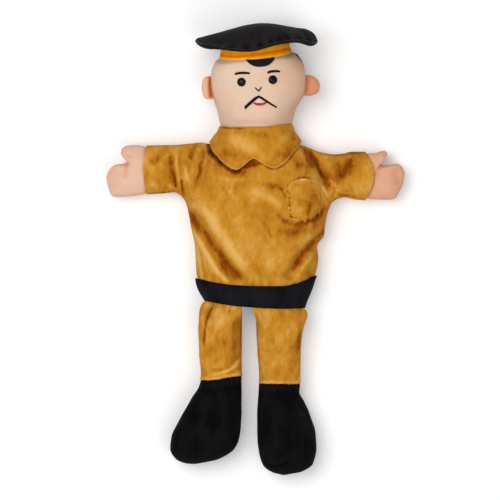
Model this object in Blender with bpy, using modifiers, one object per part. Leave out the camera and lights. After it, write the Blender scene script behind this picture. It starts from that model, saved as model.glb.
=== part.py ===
"""Cloth hand puppet of a man in uniform, lying on its back.

The puppet lies face up: +X is the viewer's right, +Y runs from the boots to
the cap, +Z points up out of the face. The origin is on the table, under the
middle of the tunic's back. All sizes are in metres.
"""
import math
from bisect import bisect_right
from collections import namedtuple

import bmesh
import bpy
from mathutils import Matrix, Vector

# Cloth thicknesses and clearances
VELVETEEN = 0.0012
BLACK_CLOTH = 0.0015
BAND_CLOTH = 0.0012
COLLAR_CLOTH = 0.0016
GAP = 0.0003
EASE = 0.0009
HAIR_CLOTH = 0.0011
CROWN_CLOTH = 0.0012
HAIR_EASE = 0.0015
HAIR_ROOM = 0.0020
SEAM_SLIT = 0.0011

# Body, measured from the plane of its side seams
SEAM_HEIGHT = 0.0165
CHEST_RISE = 0.035
HEM_RISE = 0.028
NECK_RISE = 0.0295
SLEEVE_RISE = 0.0152
BACK_DROP = 0.019
WAIST_DROP = 0.0139
NECK_DROP = 0.0113
CUFF_X = 0.1019
NECK_Y = 0.093
HEM_LEFT_Y = -0.0600
HEM_RIGHT_Y = -0.0655

# Head, its finger tube and its hair
HEAD_HEIGHT = 0.0362
TUBE_BORE = 0.0206
TUBE_WALL = 0.0012
TUBE_DEPTH = 0.048
TUBE_HEIGHT = 0.0260
HEAD_FOOT_Y = 0.080
EYE_WIDTH = 0.0082
THREAD = 0.0016

# Cap
BAND_TALL = 0.0100
BAND_HALF_X = 0.0335
BAND_HALF_Z = 0.0325
BAND_TAPER = 0.93
CAP_SEAT = (-0.0004, 0.1622, 0.0370)
CAP_ROLL = 0.087
CAP_PITCH = 0.19
CROWN_HALF_X = 0.0565
CROWN_HALF_Z = 0.0445
CROWN_Y = 0.1773
CROWN_RISE = 0.0134

# Hands and legs
HAND_RISE = 0.0128
LEG_TUCK = 0.0048
THIGH_HEIGHT = 0.0240
ANKLE_HEIGHT = 0.0205
BOOT_HEIGHT = 0.0210
BOOT_RISE = 0.0215


def mm(*points):
    """Points written in millimetres, as tuples of metres."""
    return tuple(tuple(value * 0.001 for value in point) for point in points)


# One half of the tunic: its side seam as half width over height, then the
# upper and the under seam of its sleeve as height over distance from the middle
Half = namedtuple("Half", "sign side top under")
Section = namedtuple("Section", "left right seat rise drop")

LEFT = Half(
    -1,
    mm((-72, 43.5), (-62, 47.0), (-55, 50.2), (-46, 53.9), (-40, 55.6), (-30.5, 56.1),
       (-14.8, 57.0), (2.7, 60.6), (19, 63.5), (27, 66.0), (32.6, 69.8), (45, 66.0),
       (60, 60.0), (70, 52.0), (80.4, 40.5), (86.5, 36.5), (93, 32.0), (104, 31.5)),
    mm((40.5, 80.4), (45, 80.6), (52, 81.7), (60, 80.8), (75, 79.5), (88, 79.2), (102, 79.0)),
    mm((44, 46), (55, 40), (63, 36), (69.8, 32.6), (75.8, 35.2), (88, 34), (102, 33.2)))
RIGHT = Half(
    1,
    mm((-72, 43.6), (-66, 45.6), (-55, 50.3), (-45, 53.6), (-40, 55.6), (-33, 57.4),
       (-26.6, 58.2), (-20, 57.6), (-15.4, 56.8), (-10, 60.0), (-5.6, 63.4), (3.4, 64.4),
       (16.6, 67.0), (25.1, 69.8), (40, 67.0), (60, 59.5), (70, 50.0), (79.4, 40.5),
       (86, 36.3), (93, 32.0), (104, 31.5)),
    mm((40.5, 79.4), (47.5, 77.5), (54, 74.8), (60.6, 72.6), (73.5, 70.7), (82, 71.5),
       (89.1, 73.1), (102, 73.1)),
    mm((44, 40), (55, 35), (63, 30), (69.8, 25.1), (74.9, 28.5), (82.5, 30.4), (92, 28.6),
       (102, 27.5)))

FRONT_RISE = ((-0.066, HEM_RISE), (-0.045, 1.05 * HEM_RISE), (-0.020, 0.94 * CHEST_RISE),
              (0.010, CHEST_RISE), (0.045, CHEST_RISE), (0.065, 0.96 * CHEST_RISE),
              (0.093, NECK_RISE))
BACK_FALL = ((-0.040, WAIST_DROP), (-0.033, 0.90 * BACK_DROP), (-0.025, BACK_DROP),
             (0.062, BACK_DROP), (0.071, 0.87 * BACK_DROP), (0.077, 1.13 * NECK_DROP),
             (0.093, NECK_DROP))
SLEEVE_FRONT = ((0.034, 0.2 * SLEEVE_RISE), (0.042, 0.5 * SLEEVE_RISE), (0.050, 0.75 * SLEEVE_RISE),
                (0.060, 0.92 * SLEEVE_RISE), (0.070, SLEEVE_RISE), (0.102, SLEEVE_RISE))
SLEEVE_BACK = ((0.034, 0.2 * SEAM_HEIGHT), (0.042, 0.5 * SEAM_HEIGHT), (0.050, 0.75 * SEAM_HEIGHT),
               (0.060, 0.92 * SEAM_HEIGHT), (0.070, SEAM_HEIGHT), (0.102, SEAM_HEIGHT))
FRONT_POWER = 2.2
BACK_POWER = 2.6

# Creases of the front as lines over the cloth: points, width, height
CREASES = (
    (mm((-64, 22), (-54, 5), (-47, -6), (-35, -23), (-23, -38), (-13, -48)), 0.0075, -0.0052),
    (mm((-57, 26), (-44, 13), (-34, 0), (-22, -19), (-11, -33)), 0.0080, 0.0030),
    (mm((-59, -2), (-51, -16), (-41, -31), (-30, -46)), 0.0065, 0.0028),
    (mm((-80, 70), (-78, 55), (-74, 40)), 0.0052, -0.0042),
    (mm((-68, 64), (-66, 50), (-62, 38)), 0.0055, 0.0022),
    (mm((-47, 76), (-51, 60), (-56, 44)), 0.0058, -0.0034),
    (mm((-82, 78), (-90, 68), (-97, 61)), 0.0052, -0.0026),
    (mm((58, -11), (48, -17), (41, -24), (36, -32), (31, -41), (28, -48)), 0.0062, -0.0055),
    (mm((54, -3), (40, -14), (31, -27), (25, -42)), 0.0068, 0.0026),
    (mm((57, -21), (49, -31), (40, -41)), 0.0060, 0.0028),
    (mm((51, 74), (57, 61), (62, 51), (67, 40)), 0.0052, -0.0046),
    (mm((89, 68), (87, 61), (82, 54), (77, 50)), 0.0052, -0.0038),
)

BELT_TOP = ((-1.0, -0.0448), (-0.70, -0.0487), (-0.36, -0.0510), (0.14, -0.0520),
            (0.45, -0.0520), (0.73, -0.0490), (1.0, -0.0422))
BELT_BOTTOM = ((-1.0, -0.0652), (-0.60, -0.0690), (-0.26, -0.0710), (0.60, -0.0729),
               (1.0, -0.0722))
BELT_BACK = ((-1.0, -0.0448), (-0.8, -0.0488), (0.8, -0.0488), (1.0, -0.0422))
COLLAR_TOP = ((-1.0, 0.0967), (0.0, 0.0950), (1.0, 0.0980))
COLLAR_EDGE = ((-1.0, 0.0824), (-0.91, 0.0765), (-0.66, 0.0674), (-0.47, 0.0609),
               (-0.38, 0.0572), (-0.31, 0.0550), (-0.17, 0.0605), (-0.03, 0.0655),
               (0.11, 0.0603), (0.25, 0.0565), (0.38, 0.0602), (0.50, 0.0655),
               (0.68, 0.0712), (0.90, 0.0765), (1.0, 0.0820))
COLLAR_BACK = ((-1.0, 0.0824), (-0.5, 0.0790), (0.5, 0.0790), (1.0, 0.0820))

HEAD_LEFT = mm((80, 28.6), (93, 29.4), (97.0, 29.8), (99, 33.0), (101, 34.1), (104.1, 34.6),
               (110.3, 36.0), (119.1, 38.7), (124.5, 40.2), (134.9, 41.7), (142.3, 41.8),
               (147.7, 41.2), (154.8, 38.4), (160.1, 34.2), (166.5, 29.0), (172, 21.0),
               (175.2, 11.0), (176.6, 0.0))
HEAD_RIGHT = mm((80, 28.6), (93, 29.4), (97.6, 29.8), (99.6, 33.2), (104.1, 34.7),
                (110.3, 36.6), (119.1, 41.0), (124.5, 44.2), (134.9, 46.0), (142.3, 46.0),
                (147.7, 45.0), (154.8, 42.4), (160.1, 38.6), (166.5, 32.5), (172, 23.0),
                (175.2, 12.0), (176.6, 0.0))
HEAD_SEAT = ((0.080, SEAM_HEIGHT), (0.097, SEAM_HEIGHT), (0.102, 0.55 * HEAD_HEIGHT),
             (0.110, 0.75 * HEAD_HEIGHT), (0.120, 0.93 * HEAD_HEIGHT), (0.130, HEAD_HEIGHT))
HEAD_RISE = mm((80, 25.4), (93, 26.2), (97.4, 26.6), (100, 31), (104, 33.5), (110, 34),
               (120, 34), (135, 35), (146, 34.6), (155, 31.5), (160, 29), (168, 24.5),
               (173, 17), (176.6, 0.0))
HEAD_DROP = mm((80, 9.0), (97, 9.6), (102, 15.0), (110, 22.6), (120, 31.0), (130, 34.2),
               (150, 34.0), (160, 31), (168, 26), (173, 17), (176.6, 0.0))
HEAD_LEVELS = (0.0, 0.13, 0.170, 0.191, 0.215, 0.25, 0.315, 0.39, 0.47, 0.55, 0.625,
               0.695, 0.75, 0.79, 0.825, 0.86, 0.89, 0.925, 0.96, 0.985, 1.0)

EAR_LEFT = mm((-43, 142.6), (-47.6, 141.3), (-50.0, 137), (-50.4, 130.8), (-48.6, 123.6),
              (-45.0, 121.0), (-39, 121.6), (-35, 126), (-34.5, 132), (-36, 139))
EAR_RIGHT = mm((47, 143.4), (53, 142.4), (57.6, 138.8), (59.2, 133.2), (57.4, 127.6),
               (52.4, 124.8), (45, 124.4), (40, 128), (39.5, 134), (42, 140))
MITT_LEFT = mm((-95, 74.0), (-101, 75.6), (-108, 77.0), (-115, 78.2), (-121.4, 78.3),
               (-125.2, 75.6), (-125.7, 71.0), (-122.6, 67.2), (-120.3, 64.2), (-124, 61.8),
               (-130.8, 60.6), (-135.2, 57.8), (-139.1, 51.6), (-138.9, 43.6), (-135.2, 35.4),
               (-127, 31.4), (-117, 31.4), (-108, 33.6), (-101, 35.6), (-95, 37.6),
               (-93.6, 47), (-93.6, 64))
MITT_RIGHT = mm((94, 68.4), (101, 71.0), (107, 71.8), (113, 73.0), (118.8, 73.8),
                (122.5, 71.2), (121.6, 67.6), (118.4, 64.2), (117.6, 61.4), (122, 60.6),
                (129.9, 61.7), (134.8, 60.2), (138.4, 55), (138.4, 47.6), (136, 39.4),
                (131.6, 31.6), (124, 28.2), (113, 28.2), (106, 28.8), (100, 30.1), (94, 32.0),
                (92.6, 42), (92.6, 58))

LEG_LEFT = (mm((-146, -51.3), (-137.8, -51.3), (-117.7, -52.6), (-94, -53.7), (-80, -53.2),
               (-73.8, -52.2), (-70, -50.0), (-67, -45.6), (-65.2, -42.6), (-61, -41.8)),
            mm((-146, -13.4), (-135.5, -13.4), (-100, -13.0), (-71.4, -12.8), (-61, -14.0)))
LEG_RIGHT = (mm((-146, 2.7), (-141.4, 2.7), (-105.8, 0.9), (-82, -0.3), (-74, -3.2),
                (-66, -4.4)),
             mm((-146, 40.8), (-139, 41.2), (-117.7, 41.8), (-102.3, 42.4), (-88, 45.4),
                (-79, 47.2), (-75.6, 45.6), (-73, 41.4), (-70.5, 39.6), (-66, 39.2)))
BOOT_LEFT = (mm((-218, -58), (-217.3, -65.6), (-212.6, -75.0), (-203.1, -79.8),
                (-192.4, -78.6), (-177, -71.5), (-156.8, -59.6), (-147, -53.2),
                (-140.3, -51.2)),
             mm((-218, -57), (-213.7, -35.9), (-204.2, -20.5), (-195.9, -16.4),
                (-181.7, -14.0), (-165, -13.4), (-140.3, -13.4)))
BOOT_RIGHT = (mm((-228, 25), (-225.6, 15), (-219.7, 6.8), (-206.6, 2.7), (-183, 0.8),
                 (-153.3, 2.0), (-144, 2.7)),
              mm((-228, 26), (-224.4, 43.6), (-217.4, 53.0), (-203.1, 56.1),
                 (-188.8, 55.4), (-173.4, 50.7), (-159.2, 44.7), (-152, 40.6), (-144, 40.8)))


# Curves and surfaces

def smooth(pairs, at):
    """Value on the smooth curve through the pairs, which never swings past them."""
    if at <= pairs[0][0]:
        return pairs[0][1]
    if at >= pairs[-1][0]:
        return pairs[-1][1]
    index = bisect_right([pair[0] for pair in pairs], at) - 1
    slopes = []
    for near in (index, index + 1):
        before = slope_between(pairs, near - 1) if near > 0 else None
        after = slope_between(pairs, near) if near < len(pairs) - 1 else None
        if before is None or after is None:
            slopes.append(after if before is None else before)
        elif before * after <= 0.0:
            slopes.append(0.0)
        else:
            slopes.append(2.0 * before * after / (before + after))
    width = pairs[index + 1][0] - pairs[index][0]
    t = (at - pairs[index][0]) / width
    start = (2 * t ** 3 - 3 * t ** 2 + 1) * pairs[index][1]
    end = (3 * t ** 2 - 2 * t ** 3) * pairs[index + 1][1]
    return start + end + width * ((t ** 3 - 2 * t ** 2 + t) * slopes[0] + (t ** 3 - t ** 2) * slopes[1])


def slope_between(pairs, index):
    """Slope of the straight line from one pair to the next."""
    run = pairs[index + 1][0] - pairs[index][0]
    return (pairs[index + 1][1] - pairs[index][1]) / run


def mix(start, end, t):
    """Value part of the way from start to end."""
    return start + (end - start) * t


def ease(t):
    """Soft step from 0 to 1."""
    t = min(1.0, max(0.0, t))
    return t * t * (3.0 - 2.0 * t)


def dome(reach, power):
    """Height of a unit dome at a distance from its middle."""
    return max(0.0, 1.0 - min(1.0, abs(reach)) ** power) ** (1.0 / power)


def grown(section, by):
    """The same section, larger all round."""
    return Section(section.left - by, section.right + by, section.seat,
                   section.rise + by, section.drop + by)


def ring_point(section, angle, y, powers=(FRONT_POWER, BACK_POWER)):
    """Point of a section at an angle, where 90 degrees is the front."""
    power = powers[0] if math.sin(angle) >= 0.0 else powers[1]
    across = abs(math.cos(angle)) ** (2.0 / power)
    high = abs(math.sin(angle)) ** (2.0 / power)
    middle = 0.5 * (section.left + section.right)
    half = 0.5 * (section.right - section.left)
    x = middle + math.copysign(across * half, math.cos(angle))
    if math.sin(angle) >= 0.0:
        return Vector((x, y, section.seat + section.rise * high))
    return Vector((x, y, max(0.0, section.seat - section.drop * high)))


def side_fraction(angle, power=FRONT_POWER):
    """Where a ring point lies between the left side, -1, and the right, 1."""
    return math.copysign(abs(math.cos(angle)) ** (2.0 / power), math.cos(angle))


# The tunic as a surface

def torso(y):
    """Section of the tunic's body at a height along the puppet."""
    return Section(-smooth(LEFT.side, y), smooth(RIGHT.side, y), SEAM_HEIGHT,
                   smooth(FRONT_RISE, y), smooth(BACK_FALL, y))


def puff(x, y, body, arm, power):
    """How far the cloth stands from the plane of the side seams."""
    section = torso(y)
    middle = 0.5 * (section.left + section.right)
    half = 0.5 * (section.right - section.left)
    trunk = smooth(body, y) * dome((x - middle) / half, power)
    side = LEFT if x < 0.0 else RIGHT
    top = smooth(side.top, abs(x))
    under = smooth(side.under, abs(x))
    sleeve = smooth(arm, abs(x)) * dome((2.0 * y - top - under) / (top - under), power)
    return (trunk ** 4 + sleeve ** 4) ** 0.25


def line_distance(x, y, points):
    """Distance to a broken line, and how far along it the nearest point is."""
    best = (1.0, 0.0)
    for index in range(len(points) - 1):
        start = Vector(points[index])
        run = Vector(points[index + 1]) - start
        t = min(1.0, max(0.0, (Vector((x, y)) - start).dot(run) / run.length_squared))
        gap = (start + run * t - Vector((x, y))).length
        if gap < best[0]:
            best = (gap, (index + t) / (len(points) - 1))
    return best


def belt_line(x):
    """Upper edge of the belt in front, at a distance from the middle."""
    return smooth(BELT_TOP, x / 0.055)


def crease(x, y):
    """Height that the creases add to the front."""
    total = 0.0
    for points, width, height in CREASES:
        gap, along = line_distance(x, y, points)
        if gap < 2.6 * width:
            total += height * math.exp(-(gap / width) ** 2) * ease(5.0 * min(along, 1.0 - along) + 0.25)
    return total * ease((y - belt_line(x) - 0.001) / 0.008)


def front_z(x, y):
    """Height of the front of the tunic above the table."""
    rise = puff(x, y, FRONT_RISE, SLEEVE_FRONT, FRONT_POWER)
    return SEAM_HEIGHT + 0.5 * SEAM_SLIT + rise + crease(x, y) * ease(rise / 0.014)


def back_z(x, y):
    """Height of the back of the tunic above the table."""
    fall = puff(x, y, BACK_FALL, SLEEVE_BACK, BACK_POWER)
    return max(0.0, SEAM_HEIGHT - 0.5 * SEAM_SLIT - fall)


def across(t):
    """Share of the half width at a step from the side, 0, to the middle, 1."""
    return mix(1.0 - t, math.cos(0.5 * math.pi * t), 0.45)


def upper_edge(side, s):
    """Upper edge of one half: sleeve, shoulder, side of the neck, neck line."""
    foot = side.top[0][0]
    if s <= 0.12:
        x = mix(CUFF_X, 0.070, s / 0.12)
        return side.sign * x, smooth(side.top, x)
    if s <= 0.25:
        x = mix(0.070, foot, (s - 0.12) / 0.13)
        return side.sign * x, smooth(side.top, x)
    if s <= 0.33:
        y = mix(side.top[0][1], NECK_Y, (s - 0.25) / 0.08)
        return side.sign * smooth(side.side, y), y
    return side.sign * smooth(side.side, NECK_Y) * across((s - 0.33) / 0.17), NECK_Y


def lower_edge(side, s):
    """Lower edge of one half: under the sleeve, armpit, side, hem."""
    armpit = side.under[3]
    hem = HEM_LEFT_Y if side.sign < 0 else HEM_RIGHT_Y
    if s <= 0.12:
        x = mix(CUFF_X, armpit[0], s / 0.12)
        return side.sign * x, smooth(side.under, x)
    if s <= 0.33:
        y = mix(armpit[1], hem, (s - 0.12) / 0.21)
        return side.sign * smooth(side.side, y), y
    middle = 0.5 * (HEM_LEFT_Y + HEM_RIGHT_Y)
    t = (s - 0.33) / 0.17
    return side.sign * smooth(side.side, hem) * across(t), mix(hem, middle, t)


def panel_point(u, v, height, bulges):
    """Point of a tunic panel, which is ruled from its upper to its lower edge."""
    side = LEFT if u < 0.5 else RIGHT
    s = u if u < 0.5 else 1.0 - u
    round_off = 1.0 - ease((s - 0.30) / 0.12)
    t = mix(v, 0.5 * (1.0 - math.cos(math.pi * v)), 0.85 * round_off)
    top = Vector(upper_edge(side, s))
    low = Vector(lower_edge(side, s))
    flat = top.lerp(low, t)
    bulge = bulges[0] if side.sign < 0 else bulges[1]
    flat.x += side.sign * bulge * math.sin(math.pi * t) * max(0.0, 1.0 - s / 0.10)
    bow = smooth(((0.12, 0.0), (0.21, 1.0), (0.33, 0.80), (0.42, 0.35), (0.50, 0.0)), s)
    flat.x -= side.sign * 0.008 * bow * math.sin(math.pi * t)
    seam = v < 1e-6 and s < 0.329 or v > 1.0 - 1e-6 and s < 0.329
    if seam:
        slit = 0.5 * SEAM_SLIT
        return Vector((flat.x, flat.y, SEAM_HEIGHT + (slit if height is front_z else -slit)))
    return Vector((flat.x, flat.y, height(flat.x, flat.y)))


# Making objects

def clear_scene():
    """Remove every object that the scene holds."""
    for item in list(bpy.data.objects):
        bpy.data.objects.remove(item, do_unlink=True)


def new_collection(name):
    """An empty collection in the scene."""
    group = bpy.data.collections.new(name)
    bpy.context.scene.collection.children.link(group)
    return group


def material(name, colour, roughness):
    """A plain cloth material of one colour."""
    finish = bpy.data.materials.new(name)
    finish.use_nodes = True
    shader = finish.node_tree.nodes["Principled BSDF"]
    shader.inputs["Base Color"].default_value = (*colour, 1.0)
    shader.inputs["Roughness"].default_value = roughness
    shader.inputs["Metallic"].default_value = 0.0
    finish.diffuse_color = (*colour, 1.0)
    return finish


def add_mesh(group, name, mesh, finish):
    """Turn a finished bmesh into an object that faces outwards."""
    centre = sum((vertex.co for vertex in mesh.verts), Vector()) / len(mesh.verts)
    outward = sum(face.normal.dot(face.calc_center_median() - centre) * face.calc_area()
                  for face in mesh.faces)
    if outward < 0.0:
        bmesh.ops.reverse_faces(mesh, faces=mesh.faces)
    data = bpy.data.meshes.new(name)
    mesh.to_mesh(data)
    mesh.free()
    data.shade_smooth()
    data.set_sharp_from_angle(angle=math.radians(50))
    item = bpy.data.objects.new(name, data)
    if finish is not None:
        data.materials.append(finish)
    group.objects.link(item)
    return item


def bent_grid(group, name, columns, rows, place, finish):
    """A grid of faces bent by place(u, v), with its seam and poles merged."""
    mesh = bmesh.new()
    bmesh.ops.create_grid(mesh, x_segments=columns, y_segments=rows, size=0.5)
    for vertex in mesh.verts:
        vertex.co = place(vertex.co.x + 0.5, vertex.co.y + 0.5)
    bmesh.ops.remove_doubles(mesh, verts=mesh.verts, dist=0.00001)
    mesh.normal_update()
    return add_mesh(group, name, mesh, finish)


def thicken(item, thickness, outside=False):
    """Give an open surface its wall."""
    wall = item.modifiers.new("Wall", "SOLIDIFY")
    wall.thickness = thickness
    wall.offset = 1.0 if outside else -1.0
    return item


def level_list(levels, v):
    """Position of a grid row in a list of levels."""
    at = v * (len(levels) - 1)
    index = min(len(levels) - 2, int(at + 1e-6))
    return mix(levels[index], levels[index + 1], at - index)


def closed_outline(points, count):
    """Points at even steps of a smooth closed curve through the given points."""
    ring = []
    for step in range(count):
        at = step * len(points) / count
        index = int(at)
        t = at - index
        a, b, c, d = (Vector(points[(index + shift) % len(points)]) for shift in (-1, 0, 1, 2))
        curve = 2 * b + (c - a) * t + (2 * a - 5 * b + 4 * c - d) * t ** 2
        ring.append(0.5 * (curve + (3 * b - a - 3 * c + d) * t ** 3))
    return ring


def pillow(group, name, outline, centre, seat, rise, drop, count, rings, finish):
    """A stuffed flat shape: an outline that swells to the front and the back."""
    ring = closed_outline(outline, count)

    def place(u, v):
        edge = ring[round(u * count) % count]
        angle = math.pi * (v - 0.5)
        flat = Vector(centre).lerp(edge, math.cos(angle))
        high = math.copysign(abs(math.sin(angle)) ** 0.85, angle)
        return Vector((flat.x, flat.y, seat + high * (rise if high > 0 else drop)))

    return bent_grid(group, name, count, 2 * rings, place, finish)


def surface_point(item, x, y, lift):
    """Point at a height over an object's front, and the surface's direction there."""
    graph = bpy.context.evaluated_depsgraph_get()
    found, spot, normal, _ = item.evaluated_get(graph).ray_cast(Vector((x, y, 0.3)), Vector((0, 0, -1)))
    if not found:
        raise ValueError(f"{item.name} has no surface at {x:.4f}, {y:.4f}")
    return spot + normal * lift, normal


def cut(item, cutter):
    """Cut one object away from another."""
    step = item.modifiers.new("Cut", "BOOLEAN")
    step.operation = "DIFFERENCE"
    step.object = cutter
    cutter.hide_render = True
    cutter.display_type = "WIRE"


# Head

def head_section(y):
    """Section of the stuffed head, which leaves room for the hair between itself and the table."""
    seat = smooth(HEAD_SEAT, y)
    drop = min(smooth(HEAD_DROP, y), seat - HAIR_ROOM)
    return Section(-smooth(HEAD_LEFT, y), smooth(HEAD_RIGHT, y), seat, smooth(HEAD_RISE, y), drop)


def cap_axes():
    """Placement of the cap: its own Y runs up through the crown."""
    up = Vector((-CAP_ROLL, 1.0, CAP_PITCH)).normalized()
    front = (Vector((0, 0, 1)) - up * up.z).normalized()
    turn = Matrix((up.cross(front), up, front)).transposed().to_4x4()
    return Matrix.Translation(CAP_SEAT) @ turn


def squeeze(point, spare):
    """Draw a point of the head in to where the cap's band grips it."""
    local = CAP_AXES.inverted() @ point
    tight = mix(1.0, BAND_TAPER, min(1.0, max(0.0, local.y / BAND_TALL)))
    below = max(0.0, -0.0010 - local.y)
    limit = tight + below * below / (below + 0.004) / 0.018
    across = (BAND_HALF_X - spare) * limit
    deep = (BAND_HALF_Z - spare) * limit
    ratio = math.hypot(local.x / across, local.z / deep)
    if ratio > 1.0:
        local.x /= ratio
        local.z /= ratio
    return CAP_AXES @ local


def head_point(u, v, by):
    """Point of the head's surface, a little larger by a given amount."""
    y = mix(HEAD_FOOT_Y, HEAD_LEFT[-1][0], level_list(HEAD_LEVELS, v))
    point = ring_point(grown(head_section(y), by), 2.0 * math.pi * u, y)
    return squeeze(point, BAND_CLOTH + EASE - by)


def over_head(angle, y, lift):
    """Point at a height over the head's surface."""
    step = 0.0004
    around = skin_point(angle + 0.01, y) - skin_point(angle - 0.01, y)
    along = skin_point(angle, y + step) - skin_point(angle, y - step)
    outward = along.cross(around).normalized()
    point = skin_point(angle, y) + outward * lift
    point.z = max(0.0, point.z)
    return point


def skin_point(angle, y):
    """Point of the head's surface at an angle and a height along the puppet."""
    return squeeze(ring_point(head_section(y), angle, y), BAND_CLOTH + EASE)


def make_head(group, cutters):
    """Head, finger tube, hair and ears."""
    skin = material("skin_cotton", (0.79, 0.55, 0.41), 0.9)
    rows = len(HEAD_LEVELS) + 1
    foot = Vector((0.0, HEAD_FOOT_Y, TUBE_HEIGHT))
    crown = Vector((2.0 * TUBE_WALL, HEAD_LEFT[-1][0], HEAD_HEIGHT))

    def place(u, v):
        row = round(v * rows)
        if row == 0:
            return foot
        if row >= rows - 1:
            return crown
        return head_point(u, (row - 1) / (len(HEAD_LEVELS) - 1), 0.0)

    head = bent_grid(group, "head", 28, rows, place, skin)
    bpy.ops.mesh.primitive_cylinder_add(
        vertices=18, radius=0.5 * TUBE_BORE + TUBE_WALL + GAP, depth=2.0 * (TUBE_DEPTH + GAP),
        location=(0.0, HEAD_FOOT_Y, TUBE_HEIGHT), rotation=(math.pi / 2, 0, 0))
    bore = bpy.context.active_object
    bore.name = "finger_bore"
    move_to(bore, cutters)
    cut(head, bore)

    tube_finish = material("finger_tube_cotton", (0.62, 0.43, 0.32), 0.9)
    profile = bmesh.new()
    outer = 0.5 * TUBE_BORE + TUBE_WALL
    inner = 0.5 * TUBE_BORE
    corners = ((0, TUBE_DEPTH), (outer, TUBE_DEPTH), (outer, 0), (inner, 0),
               (inner, TUBE_DEPTH - TUBE_WALL), (0, TUBE_DEPTH - TUBE_WALL))
    verts = [profile.verts.new((x, 0, z)) for x, z in corners]
    for first, second in zip(verts, verts[1:]):
        profile.edges.new((first, second))
    data = bpy.data.meshes.new("finger_tube")
    profile.to_mesh(data)
    profile.free()
    data.materials.append(tube_finish)
    tube = bpy.data.objects.new("finger_tube", data)
    group.objects.link(tube)
    spin = tube.modifiers.new("Turn", "SCREW")
    spin.steps = 18
    spin.render_steps = 18
    spin.axis = "Z"
    spin.use_merge_vertices = True
    spin.merge_threshold = 0.00001
    tube.rotation_euler = (-math.pi / 2, 0, 0)
    tube.location = (0, HEAD_FOOT_Y, TUBE_HEIGHT)

    black = material("hair_cloth", (0.012, 0.011, 0.012), 0.92)

    def hair(u, v):
        angle = mix(math.radians(203), math.radians(351), u)
        low = 0.100 + 0.022 * abs(math.cos(angle)) ** 6
        edge = ring_point(head_section(0.160), angle, 0.0)
        high = CAP_SEAT[1] + CAP_ROLL * (edge.x - CAP_SEAT[0]) - CAP_PITCH * (edge.z - CAP_SEAT[2]) - 0.0070
        return over_head(angle, mix(low, high, v), HAIR_EASE + HAIR_CLOTH)

    thicken(bent_grid(group, "back_hair", 12, 8, hair, black), HAIR_CLOTH)

    form = bent_grid(cutters, "head_form", 28, rows,
                     lambda u, v: swollen_head(u, v, rows, foot, crown), None)
    for name, outline, centre in (("left_ear", EAR_LEFT, mm((-43.5, 132))[0]),
                                  ("right_ear", EAR_RIGHT, mm((49, 133.5))[0])):
        finish = material(name + "_cotton", (0.77, 0.53, 0.40), 0.9)
        ear = pillow(group, name, outline, centre, HEAD_HEIGHT, 0.0040, 0.0040, 20, 2, finish)
        cut(ear, form)
    return head


def swollen_head(u, v, rows, foot, crown):
    """Point of the head grown by the clearance that the ears keep to it."""
    row = round(v * rows)
    if row == 0:
        return foot
    if row >= rows - 1:
        return crown + Vector((0, 2.0 * GAP, 0))
    return head_point(u, (row - 1) / (len(HEAD_LEVELS) - 1), GAP)


def move_to(item, group):
    """Keep an object in one collection only."""
    for holder in list(item.users_collection):
        holder.objects.unlink(item)
    group.objects.link(item)


# Face

def make_thread(group, head, name, points, width, finish):
    """A raised line of embroidery that lies on the head."""
    line = bpy.data.curves.new(name, "CURVE")
    line.dimensions = "3D"
    line.bevel_depth = 0.5 * width
    line.bevel_resolution = 2
    line.use_fill_caps = True
    spline = line.splines.new("POLY")
    spline.points.add(len(points) - 1)
    for knot, (x, y) in zip(spline.points, points):
        spot, _ = surface_point(head, x, y, 0.5 * width + GAP + 0.0001)
        knot.co = (*spot, 1.0)
    line.materials.append(finish)
    item = bpy.data.objects.new(name, line)
    group.objects.link(item)
    return item


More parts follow.
